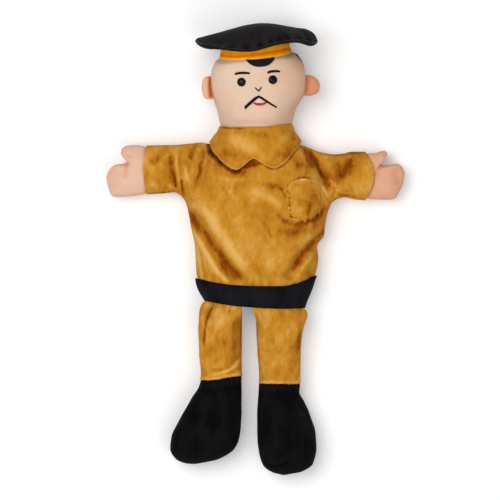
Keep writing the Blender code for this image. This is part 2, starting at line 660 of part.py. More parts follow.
def make_face(group, head):
    """Eyes, eyebrows, nose, moustache, lips and forelock."""
    bead = material("eye_bead", (0.008, 0.008, 0.009), 0.15)
    for name, spot in (("left_eye", mm((-13.1, 136.2))[0]), ("right_eye", mm((15.3, 137.9))[0])):
        place, normal = surface_point(head, spot[0], spot[1], GAP)
        mesh = bmesh.new()
        bmesh.ops.create_uvsphere(mesh, u_segments=12, v_segments=8, radius=0.5 * EYE_WIDTH)
        bmesh.ops.bisect_plane(mesh, geom=mesh.verts[:] + mesh.edges[:] + mesh.faces[:],
                               plane_co=(0, 0, 0.00001), plane_no=(0, 0, -1), clear_outer=True)
        rim = [edge for edge in mesh.edges if edge.is_boundary]
        bmesh.ops.contextual_create(mesh, geom=rim)
        bmesh.ops.scale(mesh, vec=(1, 1, 0.62), verts=mesh.verts)
        mesh.normal_update()
        eye = add_mesh(group, name, mesh, bead.copy())
        eye.location = place
        eye.rotation_euler = normal.to_track_quat("Z", "Y").to_euler()

    black = (0.010, 0.009, 0.010)
    lines = (
        ("left_eyebrow", mm((-19.2, 142.9), (-16, 144.0), (-12.6, 144.3), (-9, 144.2), (-6.0, 143.7)),
         THREAD, black),
        ("right_eyebrow", mm((10.6, 144.8), (13.4, 145.7), (16.4, 146.0), (19.2, 146.0), (22.0, 145.7)),
         THREAD, black),
        ("nose", mm((-0.8, 130.8), (1.0, 129.4), (2.7, 128.2), (4.1, 129.8), (5.3, 131.6)),
         0.75 * THREAD, (0.10, 0.045, 0.03)),
        ("moustache", mm((-9.5, 112.9), (-6.6, 116.0), (-3.4, 119.2), (-0.2, 121.6), (2.7, 122.5),
                         (6.4, 121.2), (10.2, 118.6), (14.4, 115.8), (18.5, 113.3)),
         1.35 * THREAD, black),
        ("lower_lip", mm((-2.6, 116.4), (0.6, 115.3), (4.0, 114.8), (7.4, 115.4), (10.1, 116.6)),
         1.4 * THREAD, (0.62, 0.012, 0.02)),
    )
    for name, points, width, colour in lines:
        make_thread(group, head, name, points, width, material(name + "_thread", colour, 0.6))

    pale = material("upper_lip_felt", (0.86, 0.52, 0.50), 0.85)

    def lip(u, v):
        x = mix(mix(-0.0006, 0.0024, v), mix(0.0084, 0.0044, v), u)
        return surface_point(head, x, mix(0.1171, 0.1196, v), GAP + 0.0007)[0]

    thicken(bent_grid(group, "upper_lip", 4, 2, lip, pale), 0.0006)

    hair = material("forelock_felt", (0.012, 0.011, 0.012), 0.92)

    def lock(u, v):
        x = mix(-0.0090, 0.0158, u)
        low = smooth(((0.0, 0.1550), (0.2, 0.1512), (0.45, 0.1491), (0.65, 0.1494),
                      (0.87, 0.1518), (1.0, 0.1552)), u)
        height = HEAD_HEIGHT + smooth(HEAD_RISE, 0.156)
        high = CAP_SEAT[1] + CAP_ROLL * x - CAP_PITCH * (height - CAP_SEAT[2]) - 0.0014
        y = mix(min(low, high - 0.0006), high, v)
        return surface_point(head, x, y, GAP + 0.0002 + 0.0012)[0]

    thicken(bent_grid(group, "forelock", 8, 3, lock, hair), 0.0012)


# Cap

CAP_AXES = cap_axes()


def make_cap(group):
    """Band, and the crown's lower and upper panels."""
    band_finish = material("band_satin", (0.80, 0.30, 0.015), 0.45)

    def band(u, v):
        angle = 2.0 * math.pi * u
        size = mix(1.0, BAND_TAPER, v)
        across = (BAND_HALF_X - BAND_CLOTH) * size
        deep = (BAND_HALF_Z - BAND_CLOTH) * size
        local = Vector((across * math.cos(angle), BAND_TALL * v, deep * math.sin(angle)))
        return CAP_AXES @ local

    thicken(bent_grid(group, "cap_band", 28, 1, band, band_finish), BAND_CLOTH, outside=True)

    crown = material("crown_cloth", (0.013, 0.012, 0.014), 0.9)

    def rim(angle, q):
        x = CROWN_HALF_X * math.cos(angle) * q
        z = CROWN_HALF_Z * (1.0 + math.sin(angle) * q)
        return Vector((x + 0.0004, CROWN_Y + 0.024 * x - 0.095 * (z - CROWN_HALF_Z), z))

    def top(u, v):
        v = 1.0 - (1.0 - v) ** 2
        q = math.sin(0.5 * math.pi * v)
        point = rim(2.0 * math.pi * u, q)
        point.y += 0.5 * SEAM_SLIT + CROWN_RISE * math.cos(0.5 * math.pi * v)
        return point

    def under(u, v):
        angle = 2.0 * math.pi * u
        edge = rim(angle, 1.0)
        local = Vector((BAND_HALF_X * BAND_TAPER * math.cos(angle), BAND_TALL + 2.0 * GAP,
                        BAND_HALF_Z * BAND_TAPER * math.sin(angle)))
        hole = CAP_AXES @ local
        v = 1.0 - (1.0 - v) ** 2
        q = math.sin(0.5 * math.pi * v)
        y = mix(edge.y - 0.5 * SEAM_SLIT, hole.y, math.cos(0.5 * math.pi * v))
        flat = hole.lerp(edge, q)
        return Vector((flat.x, y, flat.z))

    thicken(bent_grid(group, "cap_crown_top", 26, 5, top, crown), CROWN_CLOTH)
    thicken(bent_grid(group, "cap_crown_under", 26, 4, under, crown.copy()), CROWN_CLOTH)


# Tunic

def make_tunic(group):
    """Front and back panel, collar, belt and chest pocket."""
    mustard = (0.57, 0.25, 0.026)
    cloth = material("tunic_velveteen", mustard, 0.85)
    front = bent_grid(group, "tunic_front", 44, 17,
                      lambda u, v: panel_point(u, v, front_z, (0.0025, 0.0080)), cloth)
    thicken(front, VELVETEEN)
    back = bent_grid(group, "tunic_back", 28, 9,
                     lambda u, v: panel_point(u, v, back_z, (0.0025, 0.0080)), cloth.copy())
    thicken(back, VELVETEEN)

    def belt(u, v):
        angle = 2.0 * math.pi * u
        place = side_fraction(angle)
        upper = BELT_TOP if math.sin(angle) >= 0.0 else BELT_BACK
        y = mix(smooth(upper, place), smooth(BELT_BOTTOM, place), v)
        return ring_point(grown(torso(y), EASE), angle, y)

    belt_finish = material("belt_cloth", (0.014, 0.013, 0.016), 0.88)
    thicken(bent_grid(group, "belt", 36, 2, belt, belt_finish), BLACK_CLOTH, outside=True)

    def collar(u, v):
        angle = 2.0 * math.pi * u
        place = math.cos(angle)
        place -= 0.03 * (1.0 - place * place)
        if math.sin(angle) >= -1e-9:
            low = smooth(COLLAR_EDGE, place)
            stand = mix(0.0016, 0.0010, v) + 0.0010 * math.sin(math.pi * v)
        else:
            low = smooth(COLLAR_BACK, place)
            stand = 0.0
        y = mix(smooth(COLLAR_TOP, place), low, v)
        section = torso(y)
        half = 0.5 * (section.right - section.left) + EASE + 0.0012
        middle = 0.5 * (section.right + section.left)
        x = middle + half * place
        if math.sin(angle) >= 0.0:
            z = SEAM_HEIGHT + (section.rise + EASE + stand) * dome(place, FRONT_POWER)
        else:
            z = max(COLLAR_CLOTH, SEAM_HEIGHT - (section.drop + 1.5 * EASE) * dome(place, BACK_POWER))
        return Vector((x, y, z))

    collar_finish = material("collar_velveteen", mustard, 0.85)
    thicken(bent_grid(group, "collar", 44, 4, collar, collar_finish), COLLAR_CLOTH, outside=True)

    pocket_finish = material("pocket_velveteen", mustard, 0.85)

    def pocket(u, v):
        low = smooth(((0.0, 0.0130), (0.15, 0.0095), (0.35, 0.0070), (0.6, 0.0070),
                      (0.85, 0.0105), (1.0, 0.0150)), u)
        high = smooth(((0.0, 0.0410), (0.3, 0.0462), (0.6, 0.0478), (1.0, 0.0460)), u)
        x = mix(mix(0.0298, 0.0268, v), mix(0.0586, 0.0598, v), u)
        bulge = 0.0012 * math.sin(math.pi * u) ** 0.7 * ease(2.2 * v)
        return surface_point(front, x, mix(low, high, v), GAP + 0.0003 + VELVETEEN + bulge)[0]

    thicken(bent_grid(group, "chest_pocket", 7, 6, pocket, pocket_finish), VELVETEEN)


# Limbs

def leg_point(u, v, edges, top, foot, belt_end):
    """Point of a stuffed leg, flat under the belt and round at the ankle."""
    angle = 2.0 * math.pi * u
    y = mix(top, foot, v ** 1.15)
    left = smooth(edges[0], y)
    right = smooth(edges[1], y)
    middle = 0.5 * (left + right)
    half = 0.5 * (right - left)
    waist = torso(belt_end)
    x = middle + half * math.cos(angle)
    reach = (x - 0.5 * (waist.left + waist.right)) / (0.5 * (waist.right - waist.left))
    arch = waist.seat + waist.rise * dome(min(0.95, abs(reach)), FRONT_POWER)
    flat = Vector((x, y, arch + 0.0003 - 0.5 * LEG_TUCK * (1.0 - math.sin(angle))))
    down = (y - belt_end) / (foot - belt_end)
    seat = mix(THIGH_HEIGHT, ANKLE_HEIGHT, ease(down))
    section = Section(left, right, seat, mix(0.0175, 0.0150, ease(down)), mix(0.0150, 0.0135, ease(down)))
    full = ring_point(section, angle, y, (2.3, 2.3))
    return flat.lerp(full, ease((belt_end - y) / 0.017))


def make_limbs(group):
    """Hands, legs and boots."""
    for name, outline, centre in (("left_hand", MITT_LEFT, mm((-111.5, 56.0))[0]),
                                  ("right_hand", MITT_RIGHT, mm((110.5, 54.0))[0])):
        finish = material(name + "_cotton", (0.78, 0.49, 0.36), 0.9)
        pillow(group, name, outline, centre, SEAM_HEIGHT, HAND_RISE, HAND_RISE, 28, 3, finish)

    legs = (("left_leg", LEG_LEFT, HEM_LEFT_Y - 0.0026, -0.1400, -0.0700),
            ("right_leg", LEG_RIGHT, HEM_RIGHT_Y - 0.0022, -0.1437, -0.0731))
    for name, edges, top, foot, belt_end in legs:
        finish = material(name + "_velveteen", (0.57, 0.25, 0.026), 0.85)
        rows = 10

        def leg(u, v):
            row = round(v * (rows + 2))
            if row == 0 or row == rows + 2:
                y = top if row == 0 else foot
                ring = [leg_point(step / 16, 0.0 if row == 0 else 1.0, edges, top, foot, belt_end)
                        for step in range(16)]
                return Vector((sum(p.x for p in ring) / 16, y, sum(p.z for p in ring) / 16))
            return leg_point(u, (row - 1) / rows, edges, top, foot, belt_end)

        bent_grid(group, name, 16, rows + 2, leg, finish)

    for name, edges in (("left_boot", BOOT_LEFT), ("right_boot", BOOT_RIGHT)):
        finish = material(name + "_cloth", (0.012, 0.011, 0.012), 0.9)
        toe = edges[0][0][0]
        cuff = edges[0][-1][0]
        rows = 12

        def boot(u, v):
            row = round(v * (rows + 1))
            t = min(1.0, row / rows)
            y = mix(toe, cuff, 1.0 - math.cos(0.5 * math.pi * t) if t < 0.999 else 1.0)
            y = mix(y, mix(toe, cuff, t), 0.5 * t)
            left = smooth(edges[0], y)
            right = smooth(edges[1], y)
            down = (y - toe) / (cuff - toe)
            swell = math.sin(math.acos(max(-1.0, 1.0 - min(1.0, down / 0.30))))
            seat = mix(BOOT_HEIGHT, ANKLE_HEIGHT, ease(down))
            rise = smooth(((0.0, BOOT_RISE), (0.35, BOOT_RISE), (0.75, 0.0165), (1.0, 0.0150)), down)
            drop = smooth(((0.0, BOOT_HEIGHT), (0.5, 1.02 * BOOT_HEIGHT), (1.0, 0.0135)), down)
            section = Section(left, right, seat, rise * swell, drop * swell)
            if row == 0:
                return Vector((0.5 * (left + right), toe, seat))
            if row > rows:
                return Vector((0.5 * (left + right), cuff, seat))
            return ring_point(section, 2.0 * math.pi * u, y, (2.2, 2.4))

        bent_grid(group, name, 16, rows + 1, boot, finish)


def main():
    """Build the puppet."""
    clear_scene()
    puppet = new_collection("puppet")
    cutters = new_collection("cutters")
    head = make_head(puppet, cutters)
    make_face(puppet, head)
    make_cap(puppet)
    make_tunic(puppet)
    make_limbs(puppet)


main()
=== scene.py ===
"""Cloth hand puppet of a man in uniform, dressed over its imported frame.

The puppet lies face up: +X is the viewer's right, +Y runs from the boots to
the cap, +Z points up out of the face. All sizes are in metres.
"""
import math
from collections import namedtuple

import bmesh
import bpy
import numpy as np
from mathutils import Matrix, Vector, noise


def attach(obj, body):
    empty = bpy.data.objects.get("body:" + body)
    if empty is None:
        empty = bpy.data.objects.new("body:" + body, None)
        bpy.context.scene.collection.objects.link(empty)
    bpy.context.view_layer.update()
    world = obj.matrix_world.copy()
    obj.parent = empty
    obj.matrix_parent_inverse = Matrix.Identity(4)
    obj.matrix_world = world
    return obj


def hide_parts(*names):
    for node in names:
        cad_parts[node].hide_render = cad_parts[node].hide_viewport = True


bl_info = {
    "name": "Cloth Hand Puppet",
    "version": (1, 0, 0),
    "blender": (4, 5, 0),
    "location": "View3D > Sidebar > Puppet",
    "description": "Sews, stuffs and dresses a cloth hand puppet",
    "category": "Add Mesh",
}

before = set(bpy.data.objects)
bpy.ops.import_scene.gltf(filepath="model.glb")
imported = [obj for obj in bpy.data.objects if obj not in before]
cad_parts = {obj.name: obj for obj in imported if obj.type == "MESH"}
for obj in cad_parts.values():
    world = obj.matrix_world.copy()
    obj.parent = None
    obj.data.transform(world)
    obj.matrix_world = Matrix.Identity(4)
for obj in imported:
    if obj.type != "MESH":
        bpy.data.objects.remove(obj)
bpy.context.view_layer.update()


# Sizes that the cloth shares with the frame

VELVETEEN = 0.0012
BLACK_CLOTH = 0.0015
BAND_CLOTH = 0.0012
COLLAR_CLOTH = 0.0016
HAIR_CLOTH = 0.0011
CROWN_CLOTH = 0.0012
GAP = 0.0003
EASE = 0.0009
SEAM_HEIGHT = 0.0165
CHEST_RISE = 0.035
HEM_RISE = 0.028
NECK_RISE = 0.0295
SLEEVE_RISE = 0.0152
BACK_DROP = 0.019
WAIST_DROP = 0.0139
NECK_DROP = 0.0113
CUFF_X = 0.1019
NECK_Y = 0.093
HEM_LEFT_Y = -0.0600
HEM_RIGHT_Y = -0.0655
HEAD_HEIGHT = 0.0362
HEAD_FOOT_Y = 0.080
EYE_WIDTH = 0.0082
THREAD = 0.0016
BAND_TALL = 0.0100
BAND_HALF_X = 0.0335
BAND_HALF_Z = 0.0325
BAND_TAPER = 0.93
CAP_SEAT = (-0.0004, 0.1622, 0.0370)
CAP_ROLL = 0.087
CAP_PITCH = 0.19
CROWN_HALF_X = 0.0565
CROWN_HALF_Z = 0.0445
CROWN_Y = 0.1773
CROWN_RISE = 0.0134
EAR_RISE = 0.0042
HAND_RISE = 0.0128
LEG_TUCK = 0.0048
THIGH_HEIGHT = 0.0240
ANKLE_HEIGHT = 0.0205
BOOT_HEIGHT = 0.0210
BOOT_RISE = 0.0215
FRONT_POWER = 2.2
BACK_POWER = 2.6
BELT_HALF_X = 0.055
END_ROWS = ((1, 1), (0, 0))
SAME_PLACE = 0.000002
SEED_SHIFT = 7.31

# Shares of a tunic panel's edge, from its side: where a stretch starts, and how long it is
SLEEVE_SHARE = 0.12
SHOULDER_SHARE = 0.13
NECK_START = 0.25
NECK_SHARE = 0.08
MIDDLE_START = 0.33
MIDDLE_SHARE = 0.17
FLANK_SHARE = 0.21
FRONT_GRID = (290, 150)
BACK_GRID = (160, 70)
BOW = ((SLEEVE_SHARE, 0.0), (0.21, 1.0), (MIDDLE_START, 0.80), (0.42, 0.35), (0.50, 0.0))
SHOULDER_X = 0.070
ARMPIT = 3

# Picture
FLOOR_HALF = 6.0
FLOOR_GAP = 0.0004
SENSOR = 36.0
SUBJECT_HEIGHT = 0.025
PICTURE_MIDDLE = (-0.00558, -0.0186)


def mm(*values):
    """Points whose x and y are given in turn, in millimetres, as tuples in metres."""
    return tuple((x * 0.001, y * 0.001) for x, y in zip(values[::2], values[1::2]))


def strokes(*rows):
    """Lines, each given as its width in metres, its amount, then its points in millimetres."""
    return tuple((mm(*row[2:]), row[0], row[1]) for row in rows)


Half = namedtuple("Half", "sign side top under")
Section = namedtuple("Section", "left right seat rise drop")

LEFT = Half(
    -1,
    mm(-72, 43.5, -62, 47.0, -55, 50.2, -46, 53.9, -40, 55.6, -30.5, 56.1, -14.8, 57.0, 2.7, 60.6,
       19, 63.5, 27, 66.0, 32.6, 69.8, 45, 66.0, 60, 60.0, 70, 52.0, 80.4, 40.5, 86.5, 36.5,
       93, 32.0, 104, 31.5),
    mm(40.5, 80.4, 45, 80.6, 52, 81.7, 60, 80.8, 75, 79.5, 88, 79.2, 102, 79.0),
    mm(44, 46, 55, 40, 63, 36, 69.8, 32.6, 75.8, 35.2, 88, 34, 102, 33.2))
RIGHT = Half(
    1,
    mm(-72, 43.6, -66, 45.6, -55, 50.3, -45, 53.6, -40, 55.6, -33, 57.4, -26.6, 58.2, -20, 57.6,
       -15.4, 56.8, -10, 60.0, -5.6, 63.4, 3.4, 64.4, 16.6, 67.0, 25.1, 69.8, 40, 67.0, 60, 59.5,
       70, 50.0, 79.4, 40.5, 86, 36.3, 93, 32.0, 104, 31.5),
    mm(40.5, 79.4, 47.5, 77.5, 54, 74.8, 60.6, 72.6, 73.5, 70.7, 82, 71.5, 89.1, 73.1, 102, 73.1),
    mm(44, 40, 55, 35, 63, 30, 69.8, 25.1, 74.9, 28.5, 82.5, 30.4, 92, 28.6, 102, 27.5))

FRONT_RISE = ((-0.066, HEM_RISE), (-0.045, 1.05 * HEM_RISE), (-0.020, 0.94 * CHEST_RISE),
              (0.010, CHEST_RISE), (0.045, CHEST_RISE), (0.065, 0.96 * CHEST_RISE),
              (0.093, NECK_RISE))
BACK_FALL = ((-0.040, WAIST_DROP), (-0.033, 0.90 * BACK_DROP), (-0.025, BACK_DROP),
             (0.062, BACK_DROP), (0.071, 0.87 * BACK_DROP), (0.077, 1.13 * NECK_DROP),
             (0.093, NECK_DROP))
SLEEVE_FRONT = ((0.034, 0.2 * SLEEVE_RISE), (0.042, 0.5 * SLEEVE_RISE), (0.050, 0.75 * SLEEVE_RISE),
                (0.060, 0.92 * SLEEVE_RISE), (0.070, SLEEVE_RISE), (0.102, SLEEVE_RISE))
SLEEVE_BACK = ((0.034, 0.2 * SEAM_HEIGHT), (0.042, 0.5 * SEAM_HEIGHT), (0.050, 0.75 * SEAM_HEIGHT),
               (0.060, 0.92 * SEAM_HEIGHT), (0.070, SEAM_HEIGHT), (0.102, SEAM_HEIGHT))

# Broad folds of the tunic's front, as in the frame: width, height, points
FOLDS = strokes(
    (0.0075, -0.0052, -64, 22, -54, 5, -47, -6, -35, -23, -23, -38, -13, -48),
    (0.0080, 0.0030, -57, 26, -44, 13, -34, 0, -22, -19, -11, -33),
    (0.0065, 0.0028, -59, -2, -51, -16, -41, -31, -30, -46),
    (0.0052, -0.0042, -80, 70, -78, 55, -74, 40),
    (0.0055, 0.0022, -68, 64, -66, 50, -62, 38),
    (0.0058, -0.0034, -47, 76, -51, 60, -56, 44),
    (0.0052, -0.0026, -82, 78, -90, 68, -97, 61),
    (0.0062, -0.0055, 58, -11, 48, -17, 41, -24, 36, -32, 31, -41, 28, -48),
    (0.0068, 0.0026, 54, -3, 40, -14, 31, -27, 25, -42),
    (0.0060, 0.0028, 57, -21, 49, -31, 40, -41),
    (0.0052, -0.0046, 51, 74, 57, 61, 62, 51, 67, 40),
    (0.0052, -0.0038, 89, 68, 87, 61, 82, 54, 77, 50),
)

# Sharper creases within them, in the same form
CREASES = strokes(
    (0.0034, -0.0014, -64, 22, -54, 5, -47, -6, -35, -24, -23, -39, -9, -49),
    (0.0030, 0.0013, -58, 0, -51, -14, -41, -29, -28, -48),
    (0.0022, 0.0010, -57, -11, -53, -27, -50, -43),
    (0.0020, -0.0007, -54, -9, -49, -22, -44, -34, -38, -44),
    (0.0022, -0.0016, -79.5, 69, -77.6, 55, -74.3, 41),
    (0.0020, 0.0013, -76.6, 69, -73.8, 55, -71.9, 43, -71.4, 37),
    (0.0020, -0.0013, -70.5, 67, -69.1, 50, -68.6, 38),
    (0.0024, 0.0012, -65.7, 60, -62.9, 48, -60.5, 41),
    (0.0024, -0.0010, -57.7, 77, -59.6, 66),
    (0.0026, -0.0011, -47.7, 77, -50.1, 60, -54.3, 46),
    (0.0024, -0.0010, -83.3, 77, -90, 68, -96, 62),
    (0.0022, -0.0018, 51, 72, 57.6, 60, 62, 52, 67.5, 41, 69.4, 36),
    (0.0020, 0.0012, 66, 47, 74, 43, 75.5, 38),
    (0.0020, 0.0011, 61.8, 42, 66, 35, 69.4, 29),
    (0.0018, -0.0011, 73.2, 39, 71.3, 29),
    (0.0024, -0.0013, 88.4, 67, 87.4, 61, 82.2, 54, 77.9, 50),
    (0.0028, -0.0018, 56, -12, 48.4, -17, 41.8, -23.5, 37, -31, 31.3, -41, 27.5, -48),
    (0.0034, 0.0009, 52, -5, 40, -16, 32, -28, 26.6, -43),
    (0.0030, 0.0010, 55, -21, 48.4, -30, 39, -40),
    (0.0080, -0.0011, 2, 10, 6, -6, 12, -24),
    (0.0050, 0.0011, -7, -16, -8.5, -28, -7, -43),
    (0.0042, -0.0010, 3, -20, 5, -32, 5, -45),
    (0.0045, -0.0009, 30, 1, 41, -3, 52, 0),
    (0.0050, 0.0006, -22, 40, -17, 30, -12, 20),
    (0.0040, -0.0006, -12, 42, -8, 30, -4, 22),
)

# Painted highlights, above 0, and painted shade, below 0, along the tunic's folds and edges, with
# light and dark patches of its nap: width, amount, points
NAP_AND_PAINTED_LIGHT = strokes(
    (0.0040, 1.15, -64, 25, -56, 22, -49, 18, -42, 11, -37, 2, -31, -6, -25, -15, -18, -25,
     -12, -33, -7, -37),
    (0.0042, -0.85, -69, 27, -63, 19, -58, 10, -53, 3, -47, -5, -41, -14, -35, -21, -28, -30,
     -21, -38, -14, -44, -6, -49),
    (0.0021, 1.35, -61, 4, -55, -7, -48, -18, -43, -27, -38, -36, -31, -44, -25, -50),
    (0.0011, 0.8, -59, -2, -54, -20, -52, -34, -50, -47),
    (0.0014, -0.45, -57, -6, -52, -20, -49, -33, -46, -46),
    (0.0030, 0.55, -38, -35, -33, -42, -26, -49),
    (0.0038, 0.40, -36, 47, -22, 46, -8, 47),
    (0.0014, -0.45, -34, 43, -28, 35, -25, 29),
    (0.0016, 0.45, -21, 43, -25, 33),
    (0.0016, -0.25, -20, 42, -19, 30),
    (0.0044, 0.80, -5, 39, 5, 33, 14, 28, 25, 20),
    (0.0030, -0.70, 3, 42, 12, 41, 20, 40, 26, 36),
    (0.0014, -0.60, 22, 39, 25, 34, 27, 30),
    (0.0050, -0.38, 5, 27, 8, 12, 11, 0, 14, -11),
    (0.0014, -0.40, 10, 6, 12, 0, 15, -10),
    (0.0014, 0.35, 2, 8, 7, 0, 12, -9),
    (0.0040, -0.30, -9, 30, -9, 10),
    (0.0028, -0.95, 18, 15, 26, 8, 36, 5, 48, 7, 56, 11, 62, 17, 68, 24),
    (0.0052, -0.60, 18, 0, 28, -2, 38, -3, 50, -1),
    (0.0016, -0.35, 56, 15, 58, 12),
    (0.0130, -0.50, 66, 44, 84, 52, 103, 50),
    (0.0050, -0.40, 52, 34, 54, 22),
    (0.0026, 0.50, 63, 3, 54, -5, 46, -12, 38, -22, 32, -34, 28, -46),
    (0.0032, -0.85, 68, 6, 62, -2, 56, -8, 50, -14, 44, -20, 39, -27, 34, -36, 29, -47),
    (0.0030, 0.35, 55, -17, 50, -25, 43, -33, 36, -43),
    (0.0022, -0.45, 56, -22, 55, -28),
    (0.0030, -0.40, 50, -38, 44, -42),
    (0.0040, 0.30, -16, -12, -12, -22, -8, -34),
    (0.0040, 0.28, 9, -12, 11, -26, 12, -40),
    (0.0030, -0.40, 1, -30, 4, -46),
    (0.0018, 0.40, 41, 77, 43, 68, 46, 60),
    (0.0014, -0.70, 45, 77, 46, 70),
    (0.0042, -0.75, 41, 76, 47, 71, 50, 64, 52, 57),
    (0.0060, -0.40, 36, 62, 44, 60, 50, 52),
    (0.0060, -0.30, 30, 66, 37, 56, 38, 48),
    (0.0010, -1.10, 36, 47.8, 50, 47.8),
    (0.0011, 1.30, 40, 46.2, 46, 46.2),
    (0.0010, -0.50, 34, 42, 42, 41),
    (0.0009, -0.45, 45, 43, 52, 43),
    (0.0022, -0.35, 35, 48, 36, 38),
    (0.0030, -0.35, 49, 27, 47, 20, 46, 12),
    (0.0040, 0.30, 36, 22, 38, 12),
    (0.0014, 0.90, 61, 48, 60, 42, 64, 37, 67, 30),
    (0.0030, 0.30, 53, 58, 55, 44),
    (0.0018, -1.3, 48, 76, 52, 70, 56, 65, 58, 58, 62, 50, 65, 46, 67, 42, 68, 37),
    (0.0018, 0.85, 67, 47, 72, 43, 75, 40, 76, 36),
    (0.0010, -0.75, 72, 40, 73, 36, 71, 31, 70, 27),
    (0.0026, -0.55, 91, 71, 89, 66, 87, 61, 83, 56, 80, 51, 77, 48),
    (0.0018, -0.75, 60, 72, 75, 71, 90, 73, 101, 73),
    (0.0100, -0.50, 70, 62, 82, 60, 100, 62),
    (0.0045, 0.30, 82, 44, 95, 43, 102, 45),
    (0.0012, -0.60, 76, 33, 88, 32, 101, 29),
    (0.0022, -0.70, -55, 81, -57, 76, -60, 70, -62, 65),
    (0.0018, -0.60, -47, 80, -49, 70, -51, 62, -52, 56, -54, 48, -57, 40),
    (0.0018, 0.30, -53, 77, -55, 66, -57, 54),
    (0.0016, 0.40, -46, 72, -48, 58, -50, 46),
    (0.0018, -0.85, -101, 80, -80, 81, -58, 82),
    (0.0030, -0.60, -81, 80, -86, 74, -90, 69, -95, 64, -102, 61),
    (0.0020, -0.80, -80, 75, -79, 62, -78, 56, -76, 50),
    (0.0010, -1.5, -76.5, 53, -75.4, 46, -74.4, 39),
    (0.0014, 0.85, -74, 73, -74, 60, -73, 52, -71.6, 42),
    (0.0010, -0.55, -70.6, 73, -70.6, 60, -70, 48),
    (0.0011, -1.4, -69.4, 48, -68.8, 42, -68.4, 35),
    (0.0020, 0.75, -66, 61, -65, 54, -62, 44),
    (0.0010, 0.55, -59, 58, -59, 44),
    (0.0022, -0.7, -66, 35, -66, 31),
    (0.0028, 0.60, -101, 42, -92, 41, -84, 42, -77, 39),
    (0.0010, -0.60, -92, 50, -88, 40),
    (0.0009, -0.50, -86.5, 44, -83, 38),
    (0.0011, -0.70, -101, 34, -88, 34, -78, 35.5),
)

# The same painted highlights, painted shade and nap patches for the collar and the legs
COLLAR_NAP_AND_PAINTED_LIGHT = strokes(
    (0.0058, 0.60, -28, 87, -18, 82, -8, 78, 4, 74),
    (0.0052, -0.55, -33, 71, -24, 69, -14, 67, -6, 70),
    (0.0056, -0.62, 37, 86, 33, 78, 28, 71, 21, 65),
    (0.0024, 0.30, 27, 87, 19, 79, 11, 72),
    (0.0030, -0.50, 24, 96, 25, 89),
    (0.0026, -0.45, 34, 92, 33, 82),
    (0.0026, -0.40, -7, 91, 2, 87, 11, 88),
    (0.0030, 0.35, -37, 90, -36, 80),
    (0.0014, -0.60, -33, 95, -22, 93.5, -10, 93),
    (0.0030, 0.25, 3, 68, 10, 65),
)
LEFT_LEG_NAP_AND_PAINTED_LIGHT = strokes(
    (0.0010, -1.0, -39, -69, -43, -76, -46, -84, -48, -95, -49, -110),
    (0.0050, 0.50, -36, -72, -33, -80, -34, -92),
    (0.0011, 0.65, -42, -80, -45, -92, -46, -106),
    (0.0013, 0.60, -45, -67, -49, -77, -50, -90),
    (0.0010, -0.90, -23, -70, -25, -77),
    (0.0016, 0.50, -28, -71, -20, -73),
    (0.0050, -0.50, -20, -80, -17, -95, -18, -110, -20, -124),
    (0.0042, -0.45, -30, -97, -27, -110, -26, -122, -29, -128),
    (0.0013, 0.85, -16, -120, -19, -126, -25, -130, -33, -133, -44, -135),
    (0.0014, -0.70, -24, -127, -32, -129.5, -42, -130),
    (0.0016, -0.75, -13, -127, -20, -131, -29, -134),
    (0.0012, -1.2, -13.4, -80, -13.4, -105, -13.4, -132),
)
RIGHT_LEG_NAP_AND_PAINTED_LIGHT = strokes(
    (0.0042, 0.40, 3, -78, 6, -90, 5, -104, 6, -120, 6, -136),
    (0.0013, -0.85, -3, -78, -1, -85),
    (0.0050, -0.28, 34, -98, 35, -116, 34, -136),
    (0.0014, -0.65, 40.5, -86, 40.5, -110, 40.5, -134),
    (0.0022, -0.50, 39, -85, 38.5, -91),
    (0.0022, 0.30, 20, -112, 18, -122, 15, -131),
    (0.0035, -0.25, 22, -76, 26, -86, 25, -98),
)

BELT_TOP = ((-1.0, -0.0448), (-0.70, -0.0487), (-0.36, -0.0510), (0.14, -0.0520),
            (0.45, -0.0520), (0.73, -0.0490), (1.0, -0.0422))
BELT_BOTTOM = ((-1.0, -0.0652), (-0.60, -0.0690), (-0.26, -0.0710), (0.60, -0.0729),
               (1.0, -0.0722))
BELT_BACK = ((-1.0, -0.0448), (-0.8, -0.0488), (0.8, -0.0488), (1.0, -0.0422))
COLLAR_TOP = ((-1.0, 0.0967), (-0.65, 0.0943), (0.16, 0.0948), (0.79, 0.0975), (1.0, 0.0985))
COLLAR_EDGE = ((-1.0, 0.0812), (-0.80, 0.0735), (-0.65, 0.0685), (-0.52, 0.0630), (-0.42, 0.0589),
               (-0.33, 0.0560), (-0.27, 0.0553), (-0.19, 0.0585), (-0.13, 0.0620),
               (-0.07, 0.0648), (-0.02, 0.0655), (0.04, 0.0638), (0.10, 0.0613), (0.15, 0.0594),
               (0.20, 0.0576), (0.25, 0.0566), (0.31, 0.0573), (0.40, 0.0600), (0.52, 0.0650),
               (0.65, 0.0700), (0.79, 0.0745), (0.93, 0.0790), (1.0, 0.0818))
COLLAR_BACK = ((-1.0, 0.0824), (-0.5, 0.0790), (0.5, 0.0790), (1.0, 0.0820))

HEAD_LEFT = mm(80, 28.6, 93.4, 29.4, 94.8, 31.2, 98, 32.9, 101, 34.0, 104.1, 34.6, 110.3, 36.0,
               119.1, 38.7, 124.5, 40.2, 134.9, 41.7, 142.3, 41.8, 147.7, 41.2, 154.8, 38.4,
               160.1, 34.2, 166.5, 29.0, 172, 21.0, 175.2, 11.0, 176.6, 0.0)
HEAD_RIGHT = mm(80, 28.6, 93.4, 29.4, 94.8, 31.2, 98, 32.9, 104.1, 34.7, 110.3, 36.6, 119.1, 41.0,
                124.5, 44.2, 134.9, 46.0, 142.3, 46.0, 147.7, 45.0, 154.8, 42.4, 160.1, 38.6,
                166.5, 32.5, 172, 23.0, 175.2, 12.0, 176.6, 0.0)
HEAD_SEAT = ((0.080, SEAM_HEIGHT), (0.097, SEAM_HEIGHT), (0.102, 0.55 * HEAD_HEIGHT),
             (0.110, 0.75 * HEAD_HEIGHT), (0.120, 0.93 * HEAD_HEIGHT), (0.130, HEAD_HEIGHT))
